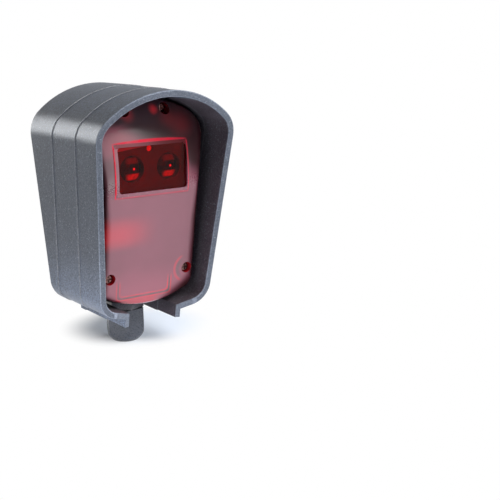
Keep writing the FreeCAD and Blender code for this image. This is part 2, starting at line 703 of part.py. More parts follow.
def hood_screws():
    screws = []
    for x, z in HOOD_SCREW_PLACES:
        seat = HOOD_SCREW_SINK + HOOD_SCREW_HEAD_HEIGHT
        head = rod(x, z, SCREW_HEAD_RADIUS, HOOD_SCREW_SINK, seat)
        shank = rod(x, z, SCREW_RADIUS, seat, seat + HOOD_SCREW_LENGTH)
        half_wide = CROSS_WIDTH / 2
        slot_depth = HOOD_SCREW_SINK + HOOD_SCREW_HEAD_HEIGHT / 2
        slot = block(
            x - SCREW_HEAD_RADIUS, x + SCREW_HEAD_RADIUS, 0, slot_depth, z - half_wide, z + half_wide
        )
        screws.append(head.fuse(shank).removeSplitter().cut(slot))
    return Part.makeCompound(screws)


def circuit_board():
    outline = rounded_rectangle(BOARD_HALF_WIDTH, BOARD_BOTTOM, BOARD_TOP, BOARD_CORNER)
    board = solid_between(outline, BOARD_BACK, BOARD_FRONT)
    hole_radius = BOARD_SCREW_RADIUS + SHANK_CLEARANCE
    holes = [rod(x, z, hole_radius, BOARD_BACK, BOARD_FRONT) for x, z in BOARD_SCREW_PLACES]
    notch_radius = SCREW_RADIUS + SCREW_BOSS_WALL + BOARD_NOTCH_ROOM
    holes += [rod(x, z, notch_radius, BOARD_BACK, BOARD_FRONT) for x, z in COVER_SCREW_PLACES]
    return board.cut(holes)


def board_screws():
    screws = []
    for x, z in BOARD_SCREW_PLACES:
        shank = rod(x, z, BOARD_SCREW_RADIUS, BOARD_FRONT - BOARD_SCREW_LENGTH, BOARD_FRONT)
        head = rod(x, z, BOARD_SCREW_HEAD_RADIUS, BOARD_FRONT, BOARD_FRONT + BOARD_SCREW_HEAD_HEIGHT)
        screws.append(shank.fuse(head).removeSplitter())
    return Part.makeCompound(screws)


LAMP_Z = WINDOW_TOP - LAMP_DROP
HOLDER_FRONT = PANE_BACK - HOLDER_CLEARANCE
LENS_SEAT = HOLDER_FRONT - LENS_MOUTH_DEPTH
LAMP_SEAT = HOLDER_FRONT - LAMP_LENGTH


def lens_holder():
    body = window_block(HOLDER_MARGIN, BOARD_FRONT, HOLDER_FRONT)
    cuts = []
    for side in (-1, 1):
        cuts.append(rod(side * LENS_SPREAD, LENS_HEIGHT, LENS_MOUTH_RADIUS, LENS_SEAT, HOLDER_FRONT))
        cuts.append(rod(side * LENS_SPREAD, LENS_HEIGHT, TUBE_RADIUS, BOARD_FRONT, LENS_SEAT))
    channel_half = LAMP_RADIUS + LAMP_FLANGE + LAMP_CLEARANCE
    cuts.append(block(-channel_half, channel_half, BOARD_FRONT, LAMP_SEAT, LAMP_Z - channel_half, REACH))
    cuts.append(rod(0, LAMP_Z, LAMP_RADIUS + LAMP_CLEARANCE, LAMP_SEAT, HOLDER_FRONT))
    return body.cut(cuts)


def lens(side):
    """Plano-convex lens with a thin rim, its crown towards the window."""
    radius = LENS_MOUTH_RADIUS - LENS_CLEARANCE
    x = side * LENS_SPREAD
    rim = rod(x, LENS_HEIGHT, radius, LENS_SEAT, LENS_SEAT + LENS_RIM)
    crown_radius = (radius ** 2 + LENS_CROWN ** 2) / (2 * LENS_CROWN)
    centre_depth = LENS_SEAT + LENS_RIM + LENS_CROWN - crown_radius
    ball = Part.makeSphere(crown_radius, Vector(x, -centre_depth, LENS_HEIGHT))
    crown = ball.common(rod(x, LENS_HEIGHT, radius, LENS_SEAT + LENS_RIM, HOLDER_FRONT))
    return rim.fuse(crown).removeSplitter()


def round_lamp(x, z, radius, back, flange, flange_height, front):
    """A lamp with a flange at its back and a domed front."""
    body = rod(x, z, radius, back, front - radius)
    dome = Part.makeSphere(radius, Vector(x, radius - front, z))
    ring = rod(x, z, radius + flange, back, back + flange_height)
    return body.fuse([dome, ring]).removeSplitter()


def indicator_led():
    back = LAMP_SEAT - LAMP_FLANGE_HEIGHT
    lamp = round_lamp(0, LAMP_Z, LAMP_RADIUS, back, LAMP_FLANGE, LAMP_FLANGE_HEIGHT, HOLDER_FRONT)
    half = LEAD_WIDTH / 2
    leads = []
    for side in (-1, 1):
        x = side * LEAD_SPACING / 2
        leads.append(block(x - half, x + half, BOARD_FRONT, back, LAMP_Z - half, LAMP_Z + half))
    return lamp.fuse(leads)


def emitter_diode():
    return round_lamp(
        -LENS_SPREAD, LENS_HEIGHT, EMITTER_RADIUS, BOARD_FRONT,
        EMITTER_FLANGE, EMITTER_FLANGE_HEIGHT, BOARD_FRONT + EMITTER_HEIGHT,
    )


def receiver_diode():
    half_wide = RECEIVER_WIDTH / 2
    half_long = RECEIVER_LENGTH / 2
    top = BOARD_FRONT + RECEIVER_HEIGHT
    body = block(
        LENS_SPREAD - half_wide, LENS_SPREAD + half_wide, BOARD_FRONT, top,
        LENS_HEIGHT - half_long, LENS_HEIGHT + half_long,
    )
    dome = Part.makeSphere(RECEIVER_LENS_RADIUS, Vector(LENS_SPREAD, -top, LENS_HEIGHT))
    return body.fuse(dome).removeSplitter()


def relay():
    top = BOARD_FRONT + RELAY_HEIGHT
    low = UPPER_ROW_TOP - RELAY_LENGTH
    body = block(RELAY_LEFT, RELAY_LEFT + RELAY_WIDTH, BOARD_FRONT, top, low, UPPER_ROW_TOP)
    upright = [edge for edge in body.Edges if abs(edge.BoundBox.YLength - RELAY_HEIGHT) < TOUCH]
    return body.makeFillet(RELAY_EDGE, upright)


def controller_chip():
    low = UPPER_ROW_MIDDLE - CHIP_LENGTH / 2
    body = block(
        CHIP_LEFT, CHIP_LEFT + CHIP_WIDTH, BOARD_FRONT, BOARD_FRONT + CHIP_HEIGHT, low, low + CHIP_LENGTH
    )
    pins = []
    for index in range(CHIP_PIN_COUNT):
        z = UPPER_ROW_MIDDLE + (index - (CHIP_PIN_COUNT - 1) / 2) * CHIP_PIN_PITCH
        pins.append(block(
            CHIP_LEFT - CHIP_PIN_REACH, CHIP_LEFT + CHIP_WIDTH + CHIP_PIN_REACH,
            BOARD_FRONT, BOARD_FRONT + CHIP_PIN_WIDTH, z - CHIP_PIN_WIDTH / 2, z + CHIP_PIN_WIDTH / 2,
        ))
    return body.fuse(pins).removeSplitter()


def supply_capacitor():
    top = BOARD_FRONT + CAPACITOR_HEIGHT
    can = rod(CAPACITOR_X, UPPER_ROW_MIDDLE, CAPACITOR_RADIUS, BOARD_FRONT, top)
    groove_back = BOARD_FRONT + CAPACITOR_GROOVE_RISE
    groove_front = groove_back + 2 * CAPACITOR_ROLL
    core_radius = CAPACITOR_RADIUS - CAPACITOR_ROLL
    groove = rod(CAPACITOR_X, UPPER_ROW_MIDDLE, CAPACITOR_RADIUS, groove_back, groove_front)
    core = rod(CAPACITOR_X, UPPER_ROW_MIDDLE, core_radius, groove_back, groove_front)
    return can.cut(groove.cut(core))


def terminal_places():
    return [TERMINAL_LEFT + (index + 0.5) * TERMINAL_PITCH for index in range(TERMINAL_COUNT)]


def terminal_block():
    low = LOWER_ROW_TOP - TERMINAL_LENGTH
    top = BOARD_FRONT + TERMINAL_HEIGHT
    body = block(TERMINAL_LEFT, TERMINAL_RIGHT, BOARD_FRONT, top, low, LOWER_ROW_TOP)
    middle = low + TERMINAL_LENGTH / 2
    cuts = []
    for x in terminal_places():
        radius = TERMINAL_SCREW_RADIUS + THREAD_CLEARANCE
        tip = top - TERMINAL_SCREW_SINK - TERMINAL_SCREW_LENGTH
        cuts.append(rod(x, middle, radius, tip, top))
        half = WIRE_HOLE_WIDTH / 2
        cuts.append(block(x - half, x + half, tip - WIRE_HOLE_HEIGHT, tip, low, low + WIRE_HOLE_DEPTH))
    return body.cut(cuts)


def terminal_screws():
    top = BOARD_FRONT + TERMINAL_HEIGHT - TERMINAL_SCREW_SINK
    middle = LOWER_ROW_TOP - TERMINAL_LENGTH / 2
    screws = []
    for x in terminal_places():
        screw = rod(x, middle, TERMINAL_SCREW_RADIUS, top - TERMINAL_SCREW_LENGTH, top)
        half = CROSS_WIDTH / 2
        slot = block(
            x - TERMINAL_SCREW_RADIUS, x + TERMINAL_SCREW_RADIUS, top - CROSS_DEPTH, top,
            middle - half, middle + half,
        )
        screws.append(screw.cut(slot))
    return Part.makeCompound(screws)


def mode_jumper():
    """Two-way pin header with its shorting cap on."""
    left = TERMINAL_RIGHT + PART_GAP
    right = left + 2 * JUMPER_PITCH
    low = LOWER_ROW_TOP - JUMPER_PITCH
    header = block(left, right, BOARD_FRONT, BOARD_FRONT + JUMPER_PITCH, low, LOWER_ROW_TOP)
    top = BOARD_FRONT + JUMPER_HEIGHT
    inset = JUMPER_CAP_INSET
    cap = block(left + inset, right - inset, top - JUMPER_CAP, top, low + inset, LOWER_ROW_TOP - inset)
    return header.fuse(cap).removeSplitter()


def gland_washer():
    ring = gland_rod(WASHER_RADIUS, COLLAR_TOP, GLAND_SEAT)
    return ring.cut(gland_rod(GLAND_THREAD_RADIUS + GLAND_CLEARANCE, COLLAR_TOP, GLAND_SEAT))


SEAL_RADIUS = CABLE_RADIUS + SEAL_WALL
SEAL_TOP = COLLAR_BOTTOM - NUT_GAP
SEAL_BOTTOM = NUT_BOTTOM + NUT_FLOOR
LOCKNUT_TOP = GLAND_INSIDE + LOCKNUT_HEIGHT


def gland_body():
    """Collar with an upper thread through the housing and a lower one for the dome nut."""
    upper = gland_rod(GLAND_THREAD_RADIUS, COLLAR_TOP, LOCKNUT_TOP + THREAD_PROUD)
    collar = gland_hexagon(COLLAR_ACROSS_FLATS, COLLAR_TURN, COLLAR_BOTTOM, COLLAR_TOP)
    lower = gland_rod(GLAND_THREAD_RADIUS, COLLAR_BOTTOM - LOWER_THREAD_HEIGHT, COLLAR_BOTTOM)
    body = upper.fuse([collar, lower]).removeSplitter()
    bore = gland_rod(CABLE_RADIUS + CABLE_ROOM, SEAL_TOP, LOCKNUT_TOP + THREAD_PROUD)
    pocket = gland_rod(SEAL_RADIUS + SEAL_CLEARANCE, COLLAR_BOTTOM - LOWER_THREAD_HEIGHT, SEAL_TOP)
    return body.cut([bore, pocket])


def gland_seal():
    ring = gland_rod(SEAL_RADIUS, SEAL_BOTTOM, SEAL_TOP)
    return ring.cut(gland_rod(CABLE_RADIUS, SEAL_BOTTOM, SEAL_TOP))


def gland_locknut():
    nut = gland_hexagon(LOCKNUT_ACROSS_FLATS, 0, GLAND_INSIDE, LOCKNUT_TOP)
    return nut.cut(gland_rod(GLAND_THREAD_RADIUS + THREAD_CLEARANCE, GLAND_INSIDE, LOCKNUT_TOP))


def nut_envelope():
    """Round form that trims the dome nut: upright sides and one arc in to the ring round its mouth."""
    inset = NUT_CORNER_RADIUS - CABLE_RADIUS - CABLE_ROOM - NUT_FOOT_WALL
    radius = (inset ** 2 + NUT_DOME ** 2) / (2 * inset)
    centre = (NUT_CORNER_RADIUS - radius, NUT_BOTTOM + NUT_DOME)
    foot_angle = -math.asin(NUT_DOME / radius)
    corners = [
        round_point(centre, radius, 0),
        front_point(NUT_CORNER_RADIUS, NUT_TOP),
        front_point(0, NUT_TOP),
        front_point(0, NUT_BOTTOM),
        round_point(centre, radius, foot_angle),
    ]
    edges = [line(start, end) for start, end in zip(corners, corners[1:])]
    wire = Part.Wire(edges + [round_corner(centre, radius, foot_angle, 0)])
    envelope = Part.Face(wire).revolve(Vector(0, 0, 0), Vector(0, 0, 1), 360)
    envelope.translate(Vector(0, -GLAND_DEPTH, 0))
    return envelope


def gland_dome_nut():
    """Hexagon nut whose lower end is rounded off to a dome."""
    nut = gland_hexagon(NUT_ACROSS_FLATS, NUT_TURN, NUT_BOTTOM, NUT_TOP).common(nut_envelope())
    thread_end = COLLAR_BOTTOM - LOWER_THREAD_HEIGHT
    thread = gland_rod(GLAND_THREAD_RADIUS + THREAD_CLEARANCE, thread_end - NUT_GAP, NUT_TOP)
    pocket = gland_rod(SEAL_RADIUS + SEAL_CLEARANCE, SEAL_BOTTOM, thread_end)
    mouth = gland_rod(CABLE_RADIUS + CABLE_ROOM, NUT_BOTTOM, SEAL_BOTTOM)
    return nut.cut([thread, pocket, mouth])


NODES = {
    "hood": hood,
    "base_housing": base_housing,
    "front_cover": front_cover,
    "cover_gasket": cover_gasket,
    "cover_screws": cover_screws,
    "hood_screws": hood_screws,
    "circuit_board": circuit_board,
    "board_screws": board_screws,
    "lens_holder": lens_holder,
    "emitter_lens": lambda: lens(-1),
    "receiver_lens": lambda: lens(1),
    "indicator_led": indicator_led,
    "emitter_diode": emitter_diode,
    "receiver_diode": receiver_diode,
    "relay": relay,
    "controller_chip": controller_chip,
    "supply_capacitor": supply_capacitor,
    "terminal_block": terminal_block,
    "terminal_screws": terminal_screws,
    "mode_jumper": mode_jumper,
    "gland_body": gland_body,
    "gland_washer": gland_washer,
    "gland_seal": gland_seal,
    "gland_locknut": gland_locknut,
    "gland_dome_nut": gland_dome_nut,
}

os.makedirs("parts", exist_ok=True)
for name, make in NODES.items():
    make().exportStep("parts/" + name + ".step")
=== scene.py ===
"""Looks of the reflective photocell: finishes, smooth bodies, studio floor, light and camera."""

import json
import math

import bpy
from mathutils import Matrix, Vector


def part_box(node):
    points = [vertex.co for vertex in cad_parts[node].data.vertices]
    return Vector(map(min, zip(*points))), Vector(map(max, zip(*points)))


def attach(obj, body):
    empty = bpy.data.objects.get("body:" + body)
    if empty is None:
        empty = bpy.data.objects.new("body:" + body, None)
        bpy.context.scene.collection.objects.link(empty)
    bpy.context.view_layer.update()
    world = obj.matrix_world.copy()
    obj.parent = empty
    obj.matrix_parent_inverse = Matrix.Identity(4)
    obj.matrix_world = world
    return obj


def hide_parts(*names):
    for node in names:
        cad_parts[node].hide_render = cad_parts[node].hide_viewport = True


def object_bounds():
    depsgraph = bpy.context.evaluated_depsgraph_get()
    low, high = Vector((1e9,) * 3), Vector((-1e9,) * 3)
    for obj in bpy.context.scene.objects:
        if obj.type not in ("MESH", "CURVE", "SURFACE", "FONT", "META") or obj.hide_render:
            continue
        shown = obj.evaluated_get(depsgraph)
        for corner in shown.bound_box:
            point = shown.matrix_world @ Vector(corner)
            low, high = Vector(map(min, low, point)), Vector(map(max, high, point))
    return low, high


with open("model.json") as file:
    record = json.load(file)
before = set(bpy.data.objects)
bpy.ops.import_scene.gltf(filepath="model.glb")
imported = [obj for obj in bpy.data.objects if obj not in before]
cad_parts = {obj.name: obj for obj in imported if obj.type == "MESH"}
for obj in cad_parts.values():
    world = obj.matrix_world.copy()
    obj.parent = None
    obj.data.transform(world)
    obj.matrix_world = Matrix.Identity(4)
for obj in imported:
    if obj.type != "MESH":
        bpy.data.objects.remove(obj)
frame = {"nodes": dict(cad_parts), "record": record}
cad_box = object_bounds()

MM = 0.001
BODY = "root"

# Places on the solids, in millimetres
RIM_DEPTH = 63.15                 # the hood's rim leans, and so do its two steps
STEP_DEPTHS = (42.5, 18.8)
RIM_LEAN = 0.201
LIP_TOP = -57.0                   # the hood's lips lie below this height
WINDOW_HALF_WIDTH = 17.9
WINDOW_LOW = -0.2
WINDOW_HIGH = 20.8
BEZEL_WIDTH = 2.0
COVER_SCREWS = ((-10.65, 36.6), (10.65, 36.6), (-20.65, -41.1), (20.65, -41.1))
COUNTERBORE_RADIUS = 2.7
COVER_BOTTOM = -56.3
FRAME_BACK = -52.0                # the window's frame lies in front of this depth
SEAT_BACK = -42.0                 # and the seats of the screws in front of this one
LENS_MIDDLE = 9.6
LENS_HEIGHT = 10.3
REFLECTION_ASIDE = 1.6                   # the painted reflections and glint show to the right of each lens's middle
RIB_MIDDLE = -2.4                 # the rib inside the cover, as it shows through the front
RIB_HALF_WIDTH = 14.0
RIB_HEIGHT = -51.9
PANE_MARGIN = 1.2                 # the pane lies this far within the holder's outline
PANE_REACH = 2.6                  # and at most this far in front of it
ON_PLANE = 0.05                   # a face this near to a plane lies on it

# Camera, set from the photograph: degrees and metres
CAMERA_TARGET = Vector((69.696, -30.0, -42.241)) * MM
CAMERA_AZIMUTH = -34.764
CAMERA_ELEVATION = 12.608
CAMERA_ROLL = -0.976
CAMERA_DISTANCE = 528.227 * MM
CAMERA_LENS = 72.0
CAMERA_SENSOR = 36.0

# Studio floor, in metres
FLOOR_SIZE = 8.0
FLOOR_MIDDLE = (0.016, -0.002, 0)
FLOOR_NEAR = 0.018                # the floor's own shade shows within this distance of its middle
FLOOR_FAR = 0.042                 # and has faded to white here
FLOOR_WHITE = (0.84, 0.90, 0.99, 1)

# Sharp edges keep their crease above this angle, and corners nearer than this are merged
CREASE = math.radians(32)
MERGE = 1e-6

# Size of the soft mottle in moulded plastic
MOTTLE_SIZE = 9 * MM


# Selecting and shaping

def choose_nothing():
    """Leave edit mode and deselect all."""
    if bpy.context.object and bpy.context.object.mode != "OBJECT":
        bpy.ops.object.mode_set(mode="OBJECT")
    bpy.ops.object.select_all(action="DESELECT")


def choose(piece):
    """Select one object alone and make it active."""
    choose_nothing()
    piece.select_set(True)
    bpy.context.view_layer.objects.active = piece


def add_to_object(piece):
    """A finished piece moves with the body."""
    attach(piece, BODY)


def node_slot(node):
    """The slot of the record that a solid takes its finish from."""
    rows = {row["node"]: row["material_slot"] for row in frame["record"]["subparts"]}
    return rows[node]


def smooth_body(node):
    """A merged copy of a solid, shaded smooth across its curves. It stands for the solid."""
    mesh = frame["nodes"][node].data.copy()
    mesh.materials.clear()
    piece = bpy.data.objects.new(node + "_body", mesh)
    bpy.context.scene.collection.objects.link(piece)
    choose(piece)
    bpy.ops.mesh.customdata_custom_splitnormals_clear()
    bpy.ops.object.mode_set(mode="EDIT")
    bpy.ops.mesh.select_all(action="SELECT")
    bpy.ops.mesh.remove_doubles(threshold=MERGE)
    bpy.ops.object.mode_set(mode="OBJECT")
    bpy.ops.object.shade_smooth_by_angle(angle=CREASE)
    weigh = piece.modifiers.new("flat_faces_lead", "WEIGHTED_NORMAL")
    weigh.keep_sharp = True
    bpy.ops.object.modifier_apply(modifier=weigh.name)
    add_to_object(piece)
    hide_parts(node)
    return piece


# Building finishes

def new_finish(name):
    """An empty finish with one shader on its output."""
    finish = bpy.data.materials.new(name)
    finish.use_nodes = True
    tree = finish.node_tree
    tree.nodes.clear()
    output = tree.nodes.new("ShaderNodeOutputMaterial")
    shader = tree.nodes.new("ShaderNodeBsdfPrincipled")
    tree.links.new(shader.outputs["BSDF"], output.inputs["Surface"])
    return finish, shader


def grain(finish, size, detail=2.0, roughness=0.5):
    """Noise on the object's own coordinates, with grains of about this size in metres."""
    tree = finish.node_tree
    place = tree.nodes.new("ShaderNodeTexCoord")
    noise = tree.nodes.new("ShaderNodeTexNoise")
    noise.inputs["Scale"].default_value = 1 / size
    noise.inputs["Detail"].default_value = detail
    noise.inputs["Roughness"].default_value = roughness
    tree.links.new(place.outputs["Object"], noise.inputs["Vector"])
    return noise.outputs["Fac"]


def tones(finish, value, stops):
    """Colours along a value, given as (position, colour) stops."""
    tree = finish.node_tree
    ramp = tree.nodes.new("ShaderNodeValToRGB")
    band = ramp.color_ramp
    while len(band.elements) < len(stops):
        band.elements.new(0.5)
    for element, (position, colour) in zip(band.elements, stops):
        element.position = position
        element.color = (*colour, 1)
    tree.links.new(value, ramp.inputs["Fac"])
    return ramp.outputs["Color"]


def between(finish, value, low, high, start=0.3, end=0.7):
    """A value that runs from start to end, spread over low to high."""
    tree = finish.node_tree
    spread = tree.nodes.new("ShaderNodeMapRange")
    spread.inputs["From Min"].default_value = start
    spread.inputs["From Max"].default_value = end
    spread.inputs["To Min"].default_value = low
    spread.inputs["To Max"].default_value = high
    tree.links.new(value, spread.inputs["Value"])
    return spread.outputs["Result"]


def mixed(finish, amount, first, second, way="MIX"):
    """Two colours mixed by an amount."""
    tree = finish.node_tree
    mix = tree.nodes.new("ShaderNodeMix")
    mix.data_type = "RGBA"
    mix.blend_type = way
    for socket, source in (("Factor", amount), ("A", first), ("B", second)):
        target = next(i for i in mix.inputs if i.name == socket and i.enabled)
        if isinstance(source, bpy.types.NodeSocket):
            tree.links.new(source, target)
        else:
            target.default_value = source
    return next(o for o in mix.outputs if o.enabled)


def raise_grain(finish, shader, height, depth):
    """Bump of a texture, its depth in metres."""
    tree = finish.node_tree
    bump = tree.nodes.new("ShaderNodeBump")
    bump.inputs["Strength"].default_value = 1.0
    bump.inputs["Distance"].default_value = depth
    tree.links.new(height, bump.inputs["Height"])
    tree.links.new(bump.outputs["Normal"], shader.inputs["Normal"])


def link(finish, value, socket):
    """Lead a value into a socket of the finish."""
    finish.node_tree.links.new(value, socket)


def reckon(finish, operation, *values):
    """One step of arithmetic on values and numbers."""
    tree = finish.node_tree
    step = tree.nodes.new("ShaderNodeMath")
    step.operation = operation
    for value, socket in zip(values, step.inputs):
        if isinstance(value, bpy.types.NodeSocket):
            tree.links.new(value, socket)
        else:
            socket.default_value = value
    return step.outputs["Value"]


def times(finish, first, *others):
    """Product of several values."""
    for other in others:
        first = reckon(finish, "MULTIPLY", first, other)
    return first


def largest(finish, first, *others):
    """The largest of several values."""
    for other in others:
        first = reckon(finish, "MAXIMUM", first, other)
    return first


def places(finish):
    """The object's own X, Y and Z in millimetres."""
    tree = finish.node_tree
    place = tree.nodes.new("ShaderNodeTexCoord")
    scale = tree.nodes.new("ShaderNodeVectorMath")
    scale.operation = "SCALE"
    scale.inputs["Scale"].default_value = 1 / MM
    split = tree.nodes.new("ShaderNodeSeparateXYZ")
    tree.links.new(place.outputs["Object"], scale.inputs[0])
    tree.links.new(scale.outputs["Vector"], split.inputs["Vector"])
    return split.outputs["X"], split.outputs["Y"], split.outputs["Z"]


def soft_step(finish, value, start, end):
    """0 at the start and 1 at the end, with a soft change between."""
    tree = finish.node_tree
    step = tree.nodes.new("ShaderNodeMapRange")
    step.interpolation_type = "SMOOTHSTEP"
    step.inputs["From Min"].default_value = start
    step.inputs["From Max"].default_value = end
    tree.links.new(value, step.inputs["Value"])
    return step.outputs["Result"]


def distance_from(finish, x, z, centre_x, centre_z):
    """How far a place of the front lies from a centre, in millimetres."""
    across = reckon(finish, "SUBTRACT", x, centre_x)
    upward = reckon(finish, "SUBTRACT", z, centre_z)
    square = reckon(finish, "MULTIPLY_ADD", across, across, reckon(finish, "MULTIPLY", upward, upward))
    return reckon(finish, "SQRT", square)


def soft_spot(finish, x, z, centre_x, centre_z, reach):
    """1 at a place of the front, 0 past its reach."""
    return soft_step(finish, distance_from(finish, x, z, centre_x, centre_z), reach, 0.0)


def soft_band(finish, value, start, full, fall, end):
    """1 between full and fall, 0 outside start and end."""
    rise = soft_step(finish, value, start, full)
    return reckon(finish, "MULTIPLY", rise, soft_step(finish, value, end, fall))


def plastic(name, dark, light, grain_size, rough, depth):
    """Moulded plastic: fine texture over a soft mottle."""
    finish, shader = new_finish(name)
    fine = grain(finish, grain_size)
    broad = grain(finish, MOTTLE_SIZE, detail=3.0)
    base = tones(finish, fine, [(0.32, dark), (0.68, light)])
    shade = tones(finish, broad, [(0.3, (0.88, 0.88, 0.88)), (0.7, (1.0, 1.0, 1.0))])
    link(finish, mixed(finish, 1.0, base, shade, "MULTIPLY"), shader.inputs["Base Color"])
    link(finish, between(finish, fine, rough - 0.06, rough + 0.06), shader.inputs["Roughness"])
    raise_grain(finish, shader, fine, depth)
    return finish


# Finish of the hood

HOOD_DARK = (0.022, 0.026, 0.036)
HOOD_LIGHT = (0.088, 0.100, 0.131)
SPECK_PALE = (0.22, 0.24, 0.28, 1)
STEP_HIGHLIGHT = (0.20, 0.21, 0.23, 1)        # painted highlight beside the two steps
STEP_SHARE = 0.45
# Rim and lips: a skin of less contrast, paler with painted light
RIM_DARK = (0.060, 0.067, 0.084)
RIM_LIGHT = (0.104, 0.113, 0.136)
# Faces of the steps: a much paler skin, a painted highlight
STEP_DARK = (0.050, 0.050, 0.053)
STEP_LIGHT = (0.132, 0.132, 0.140)
INSIDE_DARK = (0.064, 0.054, 0.066)      # painted red light: a little of the cover's red falls on the inside of the hood
INSIDE_LIGHT = (0.130, 0.107, 0.126)
FOOT_LIFT = (2.55, 2.65, 2.75)           # painted light from below: the hood's skin is paler towards its foot
RIM_FOOT_LIFT = (1.3, 1.3, 1.3)
NO_FOOT_LIFT = (1.0, 1.0, 1.0)
FOOT_RANGE = (-22, -62)
TOP_RANGE = (31, 41)                     # painted light on the top as well, by a share of the foot's lift
TOP_SHARE = 0.5


def beside_steps(finish):
    """1 beside the two steps of the hood, which lean with its rim: there a highlight is painted."""
    _, y, z = places(finish)
    behind_rim = reckon(finish, "ADD", reckon(finish, "MULTIPLY_ADD", z, RIM_LEAN, RIM_DEPTH), y)
    lines = [
        soft_band(finish, behind_rim, step - 0.9, step - 0.1, step + 0.1, step + 0.9)
        for step in (RIM_DEPTH - depth for depth in STEP_DEPTHS)
    ]
    return largest(finish, *lines)


def hood_skin(name, lift, foot_lift=FOOT_LIFT, dark=HOOD_DARK, light=HOOD_LIGHT):
    """Dark grey moulded skin: fine grain, pale specks and a soft mottle, with painted light that makes it
    paler towards foot and top, and painted highlights beside the steps.
    """
    finish, shader = new_finish(name)
    fine = grain(finish, 0.8 * MM, detail=3.0, roughness=0.6)
    broad = grain(finish, MOTTLE_SIZE, detail=3.0)
    specks = grain(finish, 0.6 * MM, detail=1.0)
    dark = [lift * part for part in dark]
    light = [lift * part for part in light]
    base = tones(finish, fine, [(0.34, dark), (0.66, light)])
    # Painted light: paler towards the foot, and a share of that on the top
    foot_dark = [rise * part for rise, part in zip(foot_lift, dark)]
    foot_light = [rise * part for rise, part in zip(foot_lift, light)]
    foot = tones(finish, fine, [(0.34, foot_dark), (0.66, foot_light)])
    z = places(finish)[2]
    top = times(finish, soft_step(finish, z, *TOP_RANGE), TOP_SHARE)
    base = mixed(finish, largest(finish, soft_step(finish, z, *FOOT_RANGE), top), base, foot)
    # Painted highlight beside the two steps
    base = mixed(finish, times(finish, beside_steps(finish), STEP_SHARE), base, STEP_HIGHLIGHT)
    shade = tones(finish, broad, [(0.3, (0.86, 0.86, 0.86)), (0.7, (1.0, 1.0, 1.0))])
    base = mixed(finish, 1.0, base, shade, "MULTIPLY")
    base = mixed(finish, soft_step(finish, specks, 0.62, 0.74), base, SPECK_PALE)
    link(finish, base, shader.inputs["Base Color"])
    link(finish, between(finish, fine, 0.30, 0.42), shader.inputs["Roughness"])
    shader.inputs["Specular IOR Level"].default_value = 0.22
    shader.inputs["Specular Tint"].default_value = (0.72, 0.85, 1.0, 1)
    raise_grain(finish, shader, fine, 0.05 * MM)
    return finish


# Finishes of the black and grey pieces

def hood_grey():
    return hood_skin("hood_grey_texture", 1.0)


def housing_black():
    dark, light = (0.014, 0.013, 0.014), (0.03, 0.028, 0.03)
    return plastic("housing_black_satin", dark, light, 0.5 * MM, 0.5, 0.03 * MM)


def holder_black():
    dark, light = (0.016, 0.015, 0.016), (0.03, 0.028, 0.03)
    return plastic("holder_black_satin", dark, light, 0.4 * MM, 0.4, 0.01 * MM)


def holder_face():
    """Front of the holder, with painted red light, as of the light gathered in the red window falling on
    it.
    """
    finish, shader = new_finish("holder_face_painted_red_light")
    broad = grain(finish, 8 * MM)
    base = tones(finish, broad, [(0.3, (0.024, 0.01, 0.01)), (0.7, (0.034, 0.015, 0.015))])
    # Painted red glow
    glow = tones(finish, broad, [(0.3, (0.022, 0.002, 0.002)), (0.7, (0.034, 0.003, 0.002))])
    link(finish, base, shader.inputs["Base Color"])
    link(finish, glow, shader.inputs["Emission Color"])
    shader.inputs["Emission Strength"].default_value = 1.0
    shader.inputs["Roughness"].default_value = 0.5
    return finish


def gland_nylon(name="gland_grey_nylon", dark=(0.046, 0.052, 0.069), light=(0.071, 0.078, 0.100)):
    return plastic(name, dark, light, 0.5 * MM, 0.30, 0.012 * MM)


def seal_rubber():
    dark, light = (0.012, 0.012, 0.012), (0.024, 0.024, 0.024)
    return plastic("seal_black_rubber", dark, light, 0.3 * MM, 0.7, 0.02 * MM)


# Finish of the translucent red cover

RED_BODY = (0.190, 0.047, 0.076, 1)
RED_PALE = (0.235, 0.058, 0.094, 1)
RED_LOW = (0.310, 0.070, 0.112, 1)       # painted light from below: paler towards the foot
RED_HOOD_SHADE = (0.030, 0.004, 0.007, 1)      # painted shade of the hood over the top of the cover
RED_SIDE_SHADE = (0.060, 0.020, 0.028, 1)      # painted shade beside the window
RED_HEAD_SHADE = (0.150, 0.014, 0.020, 1)      # painted shade on the head of the window's frame
RED_PAINTED_GLOW = (0.62, 0.010, 0.020, 1)
RED_GLOW = (0.42, 0.042, 0.068, 1)       # painted glow and sheen, as of light that leaves the plastic again
RED_LINE = (0.62, 0.035, 0.06, 1)
RED_GREY = (0.085, 0.062, 0.072, 1)
# Painted shade in the lower corners and along the sides
CORNER_DARK = (0.030, 0.008, 0.010, 1)
# Painted red glows above the window: x, z, reach and strength
PAINTED_GLOWS = (
    (4.7, 36.6, 3.2, 1.0),
    (17.0, 29.5, 9.0, 0.16),
    (10.5, 32.5, 6.0, 0.14),
    (-9.5, 35.0, 5.0, 0.45),
)
LIT_LINE = (1.0, 0.008, 0.055, 1)        # painted glowing lines of the window's frame
LIT_BASE = (0.25, 0.004, 0.010, 1)
LIT_STRENGTH = 0.62
FRAME_LINE_SHIFT = 0.6                   # the painted glowing lines of the frame lie a little to the left
CREST_HEIGHT = 0.8                       # the painted glow on the top of the frame is thickest in the middle
CREST_THINNING = 0.0028                  # and thins with the square of the distance from there
CREST_ACROSS = (20, 4)                   # it is dimmer on the right
CREST_RIGHT_SHARE = 0.45
UPRIGHTS_ACROSS = (10, -10)              # and so is the right-hand one of the frame's painted glowing sides
UPRIGHTS_RIGHT_SHARE = 0.55
FRAME_FOOT_SHARE = 0.3
EDGE_GLOW = (0.26, 0.008, 0.011, 1)      # painted glow on the left edge of the cover, beside the painted glow of the band
BLACK = (0, 0, 0, 1)
WHITE = (1, 1, 1, 1)
